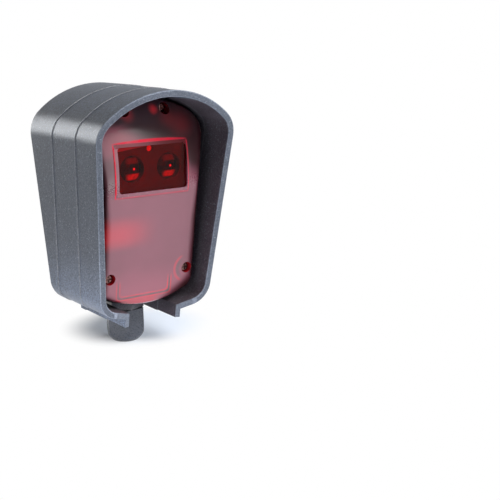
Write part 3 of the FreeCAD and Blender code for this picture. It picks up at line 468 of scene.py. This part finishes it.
DULL = (0.06, 0.06, 0.06, 1)             # gloss where shade or glow is painted
COVER_IOR = 1.6
COVER_ROUGH = (0.20, 0.27)
UPPER_ROUGHER = 0.10                     # the upper part is this much rougher
GRAIN_DEPTHS = (0.002, 0.03)             # of the lower and of the upper part, in millimetres
CROWN_FALL = -0.004

# Places on the cover's front, in millimetres across and up
UPPER_PART = (-4, 12)                    # the grainy upper part begins over these heights
FOOT_PART = (-34, -50)                   # and the painted light on the foot over these
FOOT_SHARE = 0.7
TOP_SLANT = 0.62                         # the painted shade at the top begins lower on the right
TOP_SLANT_RANGE = (16.5, 26.0)
TOP_HEIGHTS = (28.0, 32.0)
SHEEN_SPOT = (-15, 24, 15)               # x, z and reach of the painted sheen left above the window
SHEEN_SHARE = 0.45
SIDE_ACROSS = (-17.5, -21.5)             # painted shade left of the window
SIDE_HEIGHTS = (-4, 4, 13, 20)
SIDE_SHARE = 0.75
GLOW_ACROSS = (5, -18)                   # painted glow beside the board
GLOW_HEIGHTS = (-29, -20.5, -19, -9)
GLOW_EDGE_ACROSS = (-14, -20)
FOOT_GLOW_ACROSS = (8, 1)                # painted glow along the bottom edge
FOOT_GLOW_HEIGHTS = (-51.0, -54.0)
RING_ACROSS = (19, 16)                   # the boss shows on the inner side of its screw only
RING_SHARE = 0.5
RIB_REACH = (-42, -46)                   # the rib fades out upwards
RIB_ROUNDING = 3.0
HEAD_SHARE = 0.65
CORNER_SHIFT = 3.0                       # painted shade in the lower corners, cut off on a slant
CORNER_SLANT = 0.7
CORNER_RANGE = (59.2, 66.5)
FLARE_SLOPE = 0.09                       # the painted shade along the sides flares towards the top
FLARE_START = 1.35
FLARE_RANGE = (20.4, 24.0)
# Rings and lines of what lies behind: colour, and where it starts and ends
BOSS_RINGS = ((RED_GREY, 4.4, 5.4), (RED_LINE, 6.4, 7.0))
RIB_LINES = ((RED_LINE, -1.2, -0.8), (RED_GREY, -0.5, 0.2), (RED_LINE, 0.5, 0.9))


def frame_glow(finish, x, z):
    """Where glow is painted along the raised frame of the window, as of light coming out: its top most,
    its foot least.
    """
    outer = WINDOW_HALF_WIDTH + BEZEL_WIDTH
    high = WINDOW_HIGH + BEZEL_WIDTH
    low = WINDOW_LOW - BEZEL_WIDTH
    aside = reckon(finish, "ABSOLUTE", reckon(finish, "ADD", x, FRAME_LINE_SHIFT))
    above = reckon(finish, "SUBTRACT", z, high)
    crown = reckon(finish, "MULTIPLY_ADD", reckon(finish, "MULTIPLY", x, x), CREST_THINNING, -CREST_HEIGHT)
    past_crown = reckon(finish, "ADD", above, crown)
    span = soft_step(finish, aside, outer + 0.3, outer - 1.5)
    crest = times(finish, soft_step(finish, above, -0.7, -0.1), soft_step(finish, past_crown, 0.5, -0.2))
    leftward = soft_step(finish, x, *CREST_ACROSS)
    crest = times(finish, crest, span, between(finish, leftward, CREST_RIGHT_SHARE, 1.0, 0.0, 1.0))
    upright = soft_band(finish, z, low - 0.6, low + 0.4, high - 1.5, high)
    sides = soft_band(finish, aside, outer - 1.3, outer - 1.0, outer - 0.7, outer - 0.4)
    leftward = soft_step(finish, x, *UPRIGHTS_ACROSS)
    sides = times(finish, sides, upright, between(finish, leftward, UPRIGHTS_RIGHT_SHARE, 1.0, 0.0, 1.0))
    foot = soft_band(finish, z, low - 0.6, low - 0.2, low + 0.3, low + 0.7)
    foot = times(finish, foot, span, FRAME_FOOT_SHARE)
    uneven = between(finish, grain(finish, 5 * MM), 0.6, 1.0)
    return times(finish, largest(finish, crest, sides, foot), uneven)


def painted_frame_head_shade(finish, x, z):
    """1 on the head of the window's frame, where shade is painted, as it leans away from the light."""
    outer = WINDOW_HALF_WIDTH + BEZEL_WIDTH
    high = WINDOW_HIGH + BEZEL_WIDTH
    across = soft_step(finish, reckon(finish, "ABSOLUTE", x), outer, WINDOW_HALF_WIDTH)
    upward = soft_band(finish, z, WINDOW_HIGH - 0.6, WINDOW_HIGH - 0.2, high - 0.5, high)
    return times(finish, upward, across)


def corner_shade(finish, x, z):
    """1 in the lower corners and along the sides, which turn away into the dark of the hood: there shade
    is painted.
    """
    aside = reckon(finish, "ABSOLUTE", reckon(finish, "ADD", x, CORNER_SHIFT))
    corner = reckon(finish, "MULTIPLY_ADD", aside, CORNER_SLANT, reckon(finish, "MULTIPLY", z, -1.0))
    corner = soft_step(finish, corner, *CORNER_RANGE)
    flare = largest(finish, reckon(finish, "MULTIPLY_ADD", z, FLARE_SLOPE, FLARE_START), 0.0)
    edge = reckon(finish, "SUBTRACT", reckon(finish, "ABSOLUTE", x), flare)
    return largest(finish, corner, soft_step(finish, edge, *FLARE_RANGE))


def beside_window(finish, x, z, tone):
    """Adds a painted sheen left above the window and painted shade left of it."""
    # Painted sheen left above the window
    sheen = times(finish, soft_spot(finish, x, z, *SHEEN_SPOT), SHEEN_SHARE)
    tone = mixed(finish, sheen, tone, RED_GLOW)
    # Painted shade left of the window
    across = soft_step(finish, x, *SIDE_ACROSS)
    side = times(finish, across, soft_band(finish, z, *SIDE_HEIGHTS), SIDE_SHARE)
    return mixed(finish, side, tone, RED_SIDE_SHADE)


def painted_hood_shade(finish, x, z, tone):
    """Adds painted shade of the hood above the window, with a few painted red glows."""
    # The painted shade of the hood, with painted red glows in it
    empty = RED_HOOD_SHADE
    for ember_x, ember_z, reach, strength in PAINTED_GLOWS:
        ember = times(finish, soft_spot(finish, x, z, ember_x, ember_z, reach), strength)
        empty = mixed(finish, ember, empty, RED_PAINTED_GLOW)
    slant = reckon(finish, "MULTIPLY_ADD", x, TOP_SLANT, z)
    slant = soft_step(finish, slant, *TOP_SLANT_RANGE)
    top = largest(finish, slant, soft_step(finish, z, *TOP_HEIGHTS))
    return mixed(finish, top, tone, empty)


def painted_gathered_glow(finish, x, z, band, tone):
    """Adds painted red glow in a band beside the board and along the bottom edge."""
    beside_board = times(finish, band, soft_step(finish, x, *GLOW_ACROSS))
    tone = mixed(finish, beside_board, tone, RED_GLOW)
    across = soft_step(finish, x, *FOOT_GLOW_ACROSS)
    foot = times(finish, soft_step(finish, z, *FOOT_GLOW_HEIGHTS), across)
    return mixed(finish, foot, tone, RED_GLOW)


def boss_behind(finish, x, z, tone):
    """Adds the boss of the lower right screw, which shows as a grey ring in a red one."""
    from_screw = distance_from(finish, x, z, *COVER_SCREWS[3])
    beside_screw = soft_step(finish, x, *RING_ACROSS)
    for ring_colour, start, end in BOSS_RINGS:
        ring = soft_band(finish, from_screw, start - 0.5, start, end, end + 0.6)
        tone = mixed(finish, times(finish, ring, beside_screw, RING_SHARE), tone, ring_colour)
    return tone


def rib_behind(finish, x, z, tone):
    """Adds the rib inside, which shows as red lines beside a grey one round the foot of the cover."""
    from_middle = reckon(finish, "ABSOLUTE", reckon(finish, "SUBTRACT", x, RIB_MIDDLE))
    beside = reckon(finish, "SUBTRACT", from_middle, RIB_HALF_WIDTH)
    below = reckon(finish, "SUBTRACT", RIB_HEIGHT, z)
    across = reckon(finish, "SMOOTH_MAX", beside, below, RIB_ROUNDING)
    uneven = between(finish, grain(finish, 7 * MM), 0.3, 1.0)
    reach = times(finish, soft_step(finish, z, *RIB_REACH), uneven)
    for line_colour, start, end in RIB_LINES:
        line = soft_band(finish, across, start - 0.3, start, end, end + 0.3)
        tone = mixed(finish, times(finish, line, reach), tone, line_colour)
    return tone


def cover_tone(finish, x, z, shade):
    """Colour of the cover over its front: what lies behind the translucent plastic shows through, with
    painted light, glow and shade over it.
    """
    broad = grain(finish, 14 * MM, detail=2.0)
    tone = mixed(finish, between(finish, broad, 0.0, 0.3), RED_BODY, RED_PALE)
    # Painted light from below makes the foot paler
    tone = mixed(finish, times(finish, soft_step(finish, z, *FOOT_PART), FOOT_SHARE), tone, RED_LOW)
    tone = beside_window(finish, x, z, tone)
    tone = painted_hood_shade(finish, x, z, tone)
    band = soft_band(finish, z, *GLOW_HEIGHTS)
    tone = painted_gathered_glow(finish, x, z, band, tone)
    tone = boss_behind(finish, x, z, tone)
    tone = rib_behind(finish, x, z, tone)
    # Painted shade darkens the edges, but the left one beside the painted glow of the band gets painted
    # glow
    lit_edge = times(finish, band, soft_step(finish, x, *GLOW_EDGE_ACROSS))
    return mixed(finish, shade, tone, mixed(finish, lit_edge, CORNER_DARK, EDGE_GLOW))


def satin_red():
    """Translucent red cover with a fine satin skin, a slightly crowned front, and painted light, glow and
    shade.
    """
    finish, shader = new_finish("cover_satin_red")
    x, _, z = places(finish)
    fine = grain(finish, 0.5 * MM)
    shade = corner_shade(finish, x, z)
    lit = frame_glow(finish, x, z)
    # Painted shade on the head of the window's frame, and painted glow along the frame
    head = times(finish, painted_frame_head_shade(finish, x, z), HEAD_SHARE)
    tone = mixed(finish, head, cover_tone(finish, x, z, shade), RED_HEAD_SHADE)
    link(finish, mixed(finish, lit, tone, LIT_BASE), shader.inputs["Base Color"])
    upper = soft_step(finish, z, *UPPER_PART)
    rough = reckon(finish, "MULTIPLY_ADD", upper, UPPER_ROUGHER, between(finish, fine, *COVER_ROUGH))
    link(finish, rough, shader.inputs["Roughness"])
    dulled = largest(finish, head, shade, lit)
    link(finish, mixed(finish, dulled, WHITE, DULL), shader.inputs["Specular Tint"])
    link(finish, mixed(finish, lit, BLACK, LIT_LINE), shader.inputs["Emission Color"])
    shader.inputs["Emission Strength"].default_value = LIT_STRENGTH
    shader.inputs["IOR"].default_value = COVER_IOR
    shader.inputs["Specular IOR Level"].default_value = 1.0
    # The grain is stronger on the upper part, and the crown falls away to both sides there
    skin = times(finish, fine, between(finish, upper, *GRAIN_DEPTHS, 0.0, 1.0))
    crown = times(finish, x, x, upper, CROWN_FALL)
    raise_grain(finish, shader, reckon(finish, "ADD", skin, crown), 1 * MM)
    return finish


def lit_edge_red(name, glow, dark, light):
    """Edges of the red plastic, painted as lit: glow where the light inside it comes out, and on the pale
    bottom edge a painted reflection.
    """
    finish, shader = new_finish(name)
    broad = grain(finish, 2 * MM)
    tone = tones(finish, broad, [(0.35, dark), (0.65, light)])
    link(finish, tone, shader.inputs["Base Color"])
    link(finish, tone, shader.inputs["Emission Color"])
    shader.inputs["Emission Strength"].default_value = glow
    shader.inputs["Roughness"].default_value = 0.2
    shader.inputs["IOR"].default_value = 1.58
    shader.inputs["Specular IOR Level"].default_value = 0.2
    return finish


def clear_red():
    """Polished window of the cover."""
    finish, shader = new_finish("window_clear_red")
    broad = grain(finish, 6 * MM)
    base = tones(finish, broad, [(0.3, (0.72, 0.012, 0.016)), (0.7, (0.8, 0.018, 0.022))])
    link(finish, base, shader.inputs["Base Color"])
    link(finish, between(finish, broad, 0.0, 0.02), shader.inputs["Roughness"])
    shader.inputs["IOR"].default_value = 1.22
    shader.inputs["Specular IOR Level"].default_value = 0.2
    shader.inputs["Transmission Weight"].default_value = 1.0
    return finish


# Finishes of the small pieces

# Painted reflections and glint in a lens, in millimetres across and up from its middle
PAINTED_LENS_REFLECTION = (0.8, 0.05, 0.04, 1)
REFLECTION_ACROSS = (4.4, 1.6)
REFLECTION_BELOW = (-5.8, -4.6, -3.0, -2.0)
REFLECTION_ABOVE = (1.8, 2.8, 4.4, 5.4)
ABOVE_SHARE = 0.16
PAINTED_GLINT = (2.2, 0.5, 0.7, 1)
GLINT_SPOT = (0.3, -0.2, 0.8)              # x, z and reach


def lens_glass():
    """Dark glassy dome with a painted glint, a painted bright reflection below it and a faint one above.
    """
    finish, shader = new_finish("lens_dark_glass")
    x, _, z = places(finish)
    broad = grain(finish, 3 * MM)
    tone = tones(finish, broad, [(0.3, (0.006, 0.005, 0.006)), (0.7, (0.014, 0.012, 0.013))])
    link(finish, tone, shader.inputs["Base Color"])
    lens_middle = times(finish, reckon(finish, "SIGN", x), LENS_MIDDLE)
    aside = reckon(finish, "SUBTRACT", reckon(finish, "SUBTRACT", x, lens_middle), REFLECTION_ASIDE)
    upward = reckon(finish, "SUBTRACT", z, LENS_HEIGHT)
    width = soft_step(finish, reckon(finish, "ABSOLUTE", aside), *REFLECTION_ACROSS)
    uneven = between(finish, grain(finish, 2 * MM), 0.35, 1.0)
    # Painted reflections below and above the middle
    below = times(finish, soft_band(finish, upward, *REFLECTION_BELOW), width, uneven)
    above = times(finish, soft_band(finish, upward, *REFLECTION_ABOVE), width, ABOVE_SHARE)
    reflected = mixed(finish, largest(finish, below, above), BLACK, PAINTED_LENS_REFLECTION)
    # Painted glint
    glint = soft_spot(finish, aside, upward, *GLINT_SPOT)
    link(finish, mixed(finish, glint, reflected, PAINTED_GLINT), shader.inputs["Emission Color"])
    shader.inputs["Emission Strength"].default_value = 1.0
    link(finish, between(finish, broad, 0.02, 0.06), shader.inputs["Roughness"])
    shader.inputs["Specular IOR Level"].default_value = 0.15
    return finish


def lamp_red():
    """Red resin of the alignment lamp, faintly lit."""
    finish, shader = new_finish("lamp_red_resin")
    broad = grain(finish, 1 * MM)
    tone = tones(finish, broad, [(0.3, (0.8, 0.03, 0.03)), (0.7, (0.9, 0.05, 0.04))])
    link(finish, tone, shader.inputs["Base Color"])
    shader.inputs["Roughness"].default_value = 0.2
    shader.inputs["Emission Color"].default_value = (1.0, 0.02, 0.02, 1)
    shader.inputs["Emission Strength"].default_value = 0.5
    return finish


def zinc_steel(name="screw_bright_zinc", dark=(0.36, 0.35, 0.35), light=(0.52, 0.51, 0.50)):
    """Plated steel of the screws."""
    finish, shader = new_finish(name)
    fine = grain(finish, 0.25 * MM, detail=4.0)
    tone = tones(finish, fine, [(0.3, dark), (0.7, light)])
    link(finish, tone, shader.inputs["Base Color"])
    link(finish, between(finish, fine, 0.12, 0.22), shader.inputs["Roughness"])
    shader.inputs["Metallic"].default_value = 1.0
    raise_grain(finish, shader, fine, 0.004 * MM)
    return finish


def board_green():
    dark, light = (0.015, 0.11, 0.035), (0.03, 0.17, 0.06)
    return plastic("board_green_mask", dark, light, 0.8 * MM, 0.35, 0.01 * MM)


def relay_blue():
    dark, light = (0.03, 0.08, 0.28), (0.05, 0.12, 0.38)
    return plastic("relay_blue_plastic", dark, light, 0.5 * MM, 0.4, 0.01 * MM)


def terminal_green():
    dark, light = (0.03, 0.22, 0.08), (0.05, 0.3, 0.12)
    return plastic("terminal_green_plastic", dark, light, 0.5 * MM, 0.4, 0.01 * MM)


def capacitor_sleeve():
    dark, light = (0.03, 0.03, 0.04), (0.05, 0.05, 0.07)
    return plastic("capacitor_dark_sleeve", dark, light, 0.6 * MM, 0.3, 0.01 * MM)


def diode_resin():
    dark, light = (0.04, 0.02, 0.05), (0.07, 0.04, 0.08)
    return plastic("diode_dark_resin", dark, light, 0.6 * MM, 0.15, 0.002 * MM)


FINISHES = {
    "hood_plastic": hood_grey(),
    "base_plastic": housing_black(),
    "red_polycarbonate": satin_red(),
    "seal_rubber": seal_rubber(),
    "screw_steel": zinc_steel(),
    "board_laminate": board_green(),
    "holder_plastic": holder_black(),
    "lens_acrylic": lens_glass(),
    "lamp_red": lamp_red(),
    "diode_resin": diode_resin(),
    "relay_plastic": relay_blue(),
    "capacitor_aluminium": capacitor_sleeve(),
    "terminal_plastic": terminal_green(),
    "gland_plastic": gland_nylon(),
}

# The screws deep in the red cover have a painted red reflection in their colour, and the gland's collar is
# paler than its nut
NODE_FINISHES = {
    "cover_screws": zinc_steel("cover_screw_zinc_painted_red", (0.16, 0.08, 0.08), (0.30, 0.17, 0.16)),
    "gland_body": gland_nylon("collar_grey_nylon", (0.074, 0.074, 0.086), (0.110, 0.108, 0.124)),
}


# Bodies

def window_faces(piece):
    """Give the recessed pane of the cover its polished finish."""
    holder_low, holder_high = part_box("lens_holder")
    margin = PANE_MARGIN * MM
    low_x, high_x = holder_low.x + margin, holder_high.x - margin
    low_z, high_z = holder_low.z + margin, holder_high.z - margin
    front = holder_low.y - PANE_REACH * MM
    piece.data.materials.append(clear_red())
    for face in piece.data.polygons:
        centre = face.center
        in_window = low_x < centre.x < high_x and low_z < centre.z < high_z
        if in_window and front < centre.y < holder_low.y and abs(face.normal.y) > 0.9:
            face.material_index = 1


def paint_faces(piece, finish, belongs):
    """Give a finish to the faces that a test picks, by their centre in millimetres and their normal."""
    piece.data.materials.append(finish)
    index = len(piece.data.materials) - 1
    for face in piece.data.polygons:
        if belongs(face.center / MM, face.normal):
            face.material_index = index


def hood_faces(piece):
    """Skins of the hood's inside, rim and lips, with painted light, and the painted highlights of its
    steps and rim edges.
    """
    def behind_rim(centre):
        return RIM_DEPTH + RIM_LEAN * centre.z + centre.y

    def on_rim(centre, normal):
        return abs(behind_rim(centre)) < ON_PLANE

    def on_rim_edge(centre, normal):
        return ON_PLANE < behind_rim(centre) < 0.8 and -0.95 < normal.y < -0.2

    def on_lip(centre, normal):
        return centre.z < LIP_TOP and normal.y < -0.85

    def on_step(centre, normal):
        steps = [RIM_DEPTH - depth for depth in STEP_DEPTHS]
        return normal.y < -0.9 and any(abs(behind_rim(centre) - step) < ON_PLANE for step in steps)

    def inside(centre, normal):
        return centre.x * normal.x < 0 and abs(normal.x) > 0.3 and abs(normal.y) < 0.3

    # The inside gets painted red light, the rim and lips a paler skin of less contrast with painted light,
    # the rim edges and steps painted highlights
    skins = (
        ("hood_inside_painted_red_light", 0.9, NO_FOOT_LIFT, INSIDE_DARK, INSIDE_LIGHT, inside),
        ("hood_rim_painted_light", 1.2, RIM_FOOT_LIFT, RIM_DARK, RIM_LIGHT, on_rim),
        ("hood_lip_painted_light", 1.55, RIM_FOOT_LIFT, RIM_DARK, RIM_LIGHT, on_lip),
        ("hood_rim_edge_painted_highlight", 2.4, RIM_FOOT_LIFT, RIM_DARK, RIM_LIGHT, on_rim_edge),
        ("hood_step_painted_highlight", 3.9, RIM_FOOT_LIFT, STEP_DARK, STEP_LIGHT, on_step),
    )
    for name, lift, foot_lift, dark, light, belongs in skins:
        paint_faces(piece, hood_skin(name, lift, foot_lift, dark, light), belongs)


def cover_edges(piece):
    """Painted glow on red edges of the window's frame and in the seats of the screws, dim in the top
    seats, and a painted reflection on the pale bottom edge.
    """
    reach = 0.45
    outer = WINDOW_HALF_WIDTH + BEZEL_WIDTH
    low = WINDOW_LOW - BEZEL_WIDTH
    high = WINDOW_HIGH + BEZEL_WIDTH

    def on_frame(centre, normal):
        near_side = abs(abs(centre.x) - outer) < reach
        near_end = min(abs(centre.z - low), abs(centre.z - high)) < reach
        within = abs(centre.x) < outer + reach and low - reach < centre.z < high + reach
        return within and (near_side or near_end) and centre.y < FRAME_BACK and abs(normal.y) < 0.8

    def in_seat(centre, normal):
        from_screws = [math.hypot(centre.x - x, centre.z - z) for x, z in COVER_SCREWS]
        gap = min(abs(distance - COUNTERBORE_RADIUS) for distance in from_screws)
        return gap < 0.1 and abs(normal.y) < 0.5 and centre.y < SEAT_BACK

    def in_top_seat(centre, normal):
        return centre.z > 0 and in_seat(centre, normal)

    def on_bottom_edge(centre, normal):
        return centre.z < COVER_BOTTOM + 0.7 and normal.z < -0.15 and -0.95 < normal.y < -0.1

    # Painted glow on the frame and in the seats, dim in the top ones, and a painted reflection of the
    # floor on the bottom edge
    edges = (
        ("cover_frame_edge_painted_glow", 0.2, (0.55, 0.012, 0.02), (0.85, 0.03, 0.05), on_frame),
        ("cover_screw_seat_painted_glow", 0.10, (0.22, 0.005, 0.008), (0.42, 0.012, 0.02), in_seat),
        ("cover_top_seat_painted_glow", 0.01, (0.10, 0.004, 0.006), (0.18, 0.006, 0.010), in_top_seat),
        ("cover_bottom_edge_painted_reflection", 0.06, (0.42, 0.26, 0.30), (0.5, 0.34, 0.37), on_bottom_edge),
    )
    for name, glow, dark, light, belongs in edges:
        paint_faces(piece, lit_edge_red(name, glow, dark, light), belongs)


def dress_nodes():
    """Every solid gets a smooth body with its finish."""
    bodies = {}
    for node in sorted(frame["nodes"]):
        piece = smooth_body(node)
        piece.data.materials.append(NODE_FINISHES.get(node, FINISHES[node_slot(node)]))
        bodies[node] = piece
    window_faces(bodies["front_cover"])
    cover_edges(bodies["front_cover"])
    paint_faces(bodies["lens_holder"], holder_face(), lambda centre, normal: normal.y < -0.9)
    hood_faces(bodies["hood"])


# Studio

def seen_rays(finish):
    """1 for rays of the camera, of mirrors and of glass, 0 for the light that falls on things."""
    path = finish.node_tree.nodes.new("ShaderNodeLightPath")
    kinds = ("Is Camera Ray", "Is Glossy Ray", "Is Transmission Ray")
    return largest(finish, *[path.outputs[kind] for kind in kinds])


def floor_white():
    """White that is matt near the object, where its shadow falls, and plain light farther out."""
    finish = bpy.data.materials.new("studio_white")
    finish.use_nodes = True
    tree = finish.node_tree
    tree.nodes.clear()
    output = tree.nodes.new("ShaderNodeOutputMaterial")
    matt = tree.nodes.new("ShaderNodeBsdfDiffuse")
    matt.inputs["Color"].default_value = FLOOR_WHITE
    glow = tree.nodes.new("ShaderNodeEmission")
    glow.inputs["Color"].default_value = WHITE
    # The change follows the distance from the floor's middle, measured over its plane
    place = tree.nodes.new("ShaderNodeTexCoord")
    flat = tree.nodes.new("ShaderNodeVectorMath")
    flat.operation = "MULTIPLY_ADD"
    flat.inputs[1].default_value = (1, 1, 0)
    flat.inputs[2].default_value = [-part for part in FLOOR_MIDDLE]
    length = tree.nodes.new("ShaderNodeVectorMath")
    length.operation = "LENGTH"
    tree.links.new(place.outputs["Object"], flat.inputs[0])
    tree.links.new(flat.outputs["Vector"], length.inputs[0])
    fade = soft_step(finish, length.outputs["Value"], FLOOR_NEAR, FLOOR_FAR)
    mix = tree.nodes.new("ShaderNodeMixShader")
    tree.links.new(times(finish, fade, seen_rays(finish)), mix.inputs["Fac"])
    tree.links.new(matt.outputs["BSDF"], mix.inputs[1])
    tree.links.new(glow.outputs["Emission"], mix.inputs[2])
    tree.links.new(mix.outputs["Shader"], output.inputs["Surface"])
    return finish


def add_floor():
    """White floor that keeps the object's shadow and fades to plain white round it."""
    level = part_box("gland_dome_nut")[0].z
    choose_nothing()
    bpy.ops.mesh.primitive_plane_add(size=FLOOR_SIZE, location=(0, 0, level))
    floor = bpy.context.object
    floor.name = "studio_floor"
    bpy.ops.object.transform_apply(location=True, rotation=True, scale=True)
    floor.data.materials.append(floor_white())


# Light of the room: dim in front of the object and brighter behind it
ROOM_BACK = 0.26
ROOM_FRONT = 0.014
ROOM_EDGE = (-0.2, 1.0)
BACKDROP_EDGE = (0.75, 1.0)       # the white backdrop that mirrors show lies straight behind the object


def add_room_light():
    """The camera sees a white room, mirrors see its backdrop, and things are lit softly from behind."""
    world = bpy.data.worlds.new("studio_room")
    bpy.context.scene.world = world
    world.use_nodes = True
    tree = world.node_tree
    tree.nodes.clear()
    output = tree.nodes.new("ShaderNodeOutputWorld")
    place = tree.nodes.new("ShaderNodeTexCoord")
    split = tree.nodes.new("ShaderNodeSeparateXYZ")
    tree.links.new(place.outputs["Generated"], split.inputs["Vector"])
    depth = split.outputs["Y"]
    room = tree.nodes.new("ShaderNodeBackground")
    room.inputs["Color"].default_value = WHITE
    level = between(world, soft_step(world, depth, *ROOM_EDGE), ROOM_FRONT, ROOM_BACK, 0.0, 1.0)
    tree.links.new(level, room.inputs["Strength"])
    white = tree.nodes.new("ShaderNodeBackground")
    white.inputs["Color"].default_value = WHITE
    path = tree.nodes.new("ShaderNodeLightPath")
    backdrop = times(world, seen_rays(world), soft_step(world, depth, *BACKDROP_EDGE))
    mix = tree.nodes.new("ShaderNodeMixShader")
    tree.links.new(largest(world, path.outputs["Is Camera Ray"], backdrop), mix.inputs["Fac"])
    tree.links.new(room.outputs["Background"], mix.inputs[1])
    tree.links.new(white.outputs["Background"], mix.inputs[2])
    tree.links.new(mix.outputs["Shader"], output.inputs["Surface"])


def add_softbox(name, direction, distance, size, power):
    """A soft lamp that looks at the middle of the object from a direction, in metres and watts."""
    middle = (cad_box[0] + cad_box[1]) / 2
    way = Vector(direction).normalized()
    bpy.ops.object.light_add(type="AREA", location=middle + way * distance)
    lamp = bpy.context.object
    lamp.name = name
    lamp.rotation_euler = way.to_track_quat("Z", "Y").to_euler()
    lamp.data.shape = "RECTANGLE"
    lamp.data.size = size[0]
    lamp.data.size_y = size[1]
    lamp.data.energy = power
    return lamp


def add_lamps():
    """Two softboxes, a low card for the hood's side, a fill without gloss, and two for gloss only."""
    add_softbox("main_softbox", (0.32, -0.60, 0.73), 0.8, (0.35, 0.35), 5.2)
    add_softbox("right_softbox", (0.9, -0.3, 0.4), 0.8, (0.4, 0.4), 4.0)
    add_softbox("low_left_card", (-0.83, -0.20, -0.52), 0.11, (0.08, 0.03), 0.065)
    fill = add_softbox("front_fill", (0.1, -0.95, 0.25), 0.9, (0.7, 0.7), 3.6)
    fill.visible_glossy = False
    sheen = add_softbox("back_sheen", (-0.52, 0.80, 0.29), 0.8, (0.4, 0.42), 5.7)
    sheen.visible_diffuse = False
    card = add_softbox("front_card", (0.265, -0.94, 0.19), 0.8, (0.21, 0.25), 0.50)
    card.visible_diffuse = False


def add_camera():
    """Camera at the photograph's own view."""
    azimuth = math.radians(CAMERA_AZIMUTH)
    elevation = math.radians(CAMERA_ELEVATION)
    roll = math.radians(CAMERA_ROLL)
    level_back = Vector((math.sin(azimuth), -math.cos(azimuth), 0))
    back = level_back * math.cos(elevation) + Vector((0, 0, math.sin(elevation)))
    level_right = Vector((math.cos(azimuth), math.sin(azimuth), 0))
    level_up = back.cross(level_right)
    right = math.cos(roll) * level_right + math.sin(roll) * level_up
    up = math.cos(roll) * level_up - math.sin(roll) * level_right
    place = CAMERA_TARGET + back * CAMERA_DISTANCE
    bpy.ops.object.camera_add()
    camera = bpy.context.object
    camera.name = "photo_camera"
    camera.matrix_world = Matrix.Translation(place) @ Matrix((right, up, back)).transposed().to_4x4()
    camera.data.lens = CAMERA_LENS
    camera.data.sensor_width = CAMERA_SENSOR
    camera.data.sensor_fit = "HORIZONTAL"
    bpy.context.scene.camera = camera


dress_nodes()
choose_nothing()
add_floor()
add_room_light()
add_lamps()
add_camera()
bpy.context.scene.view_settings.view_transform = "Standard"

bpy.context.view_layer.update()
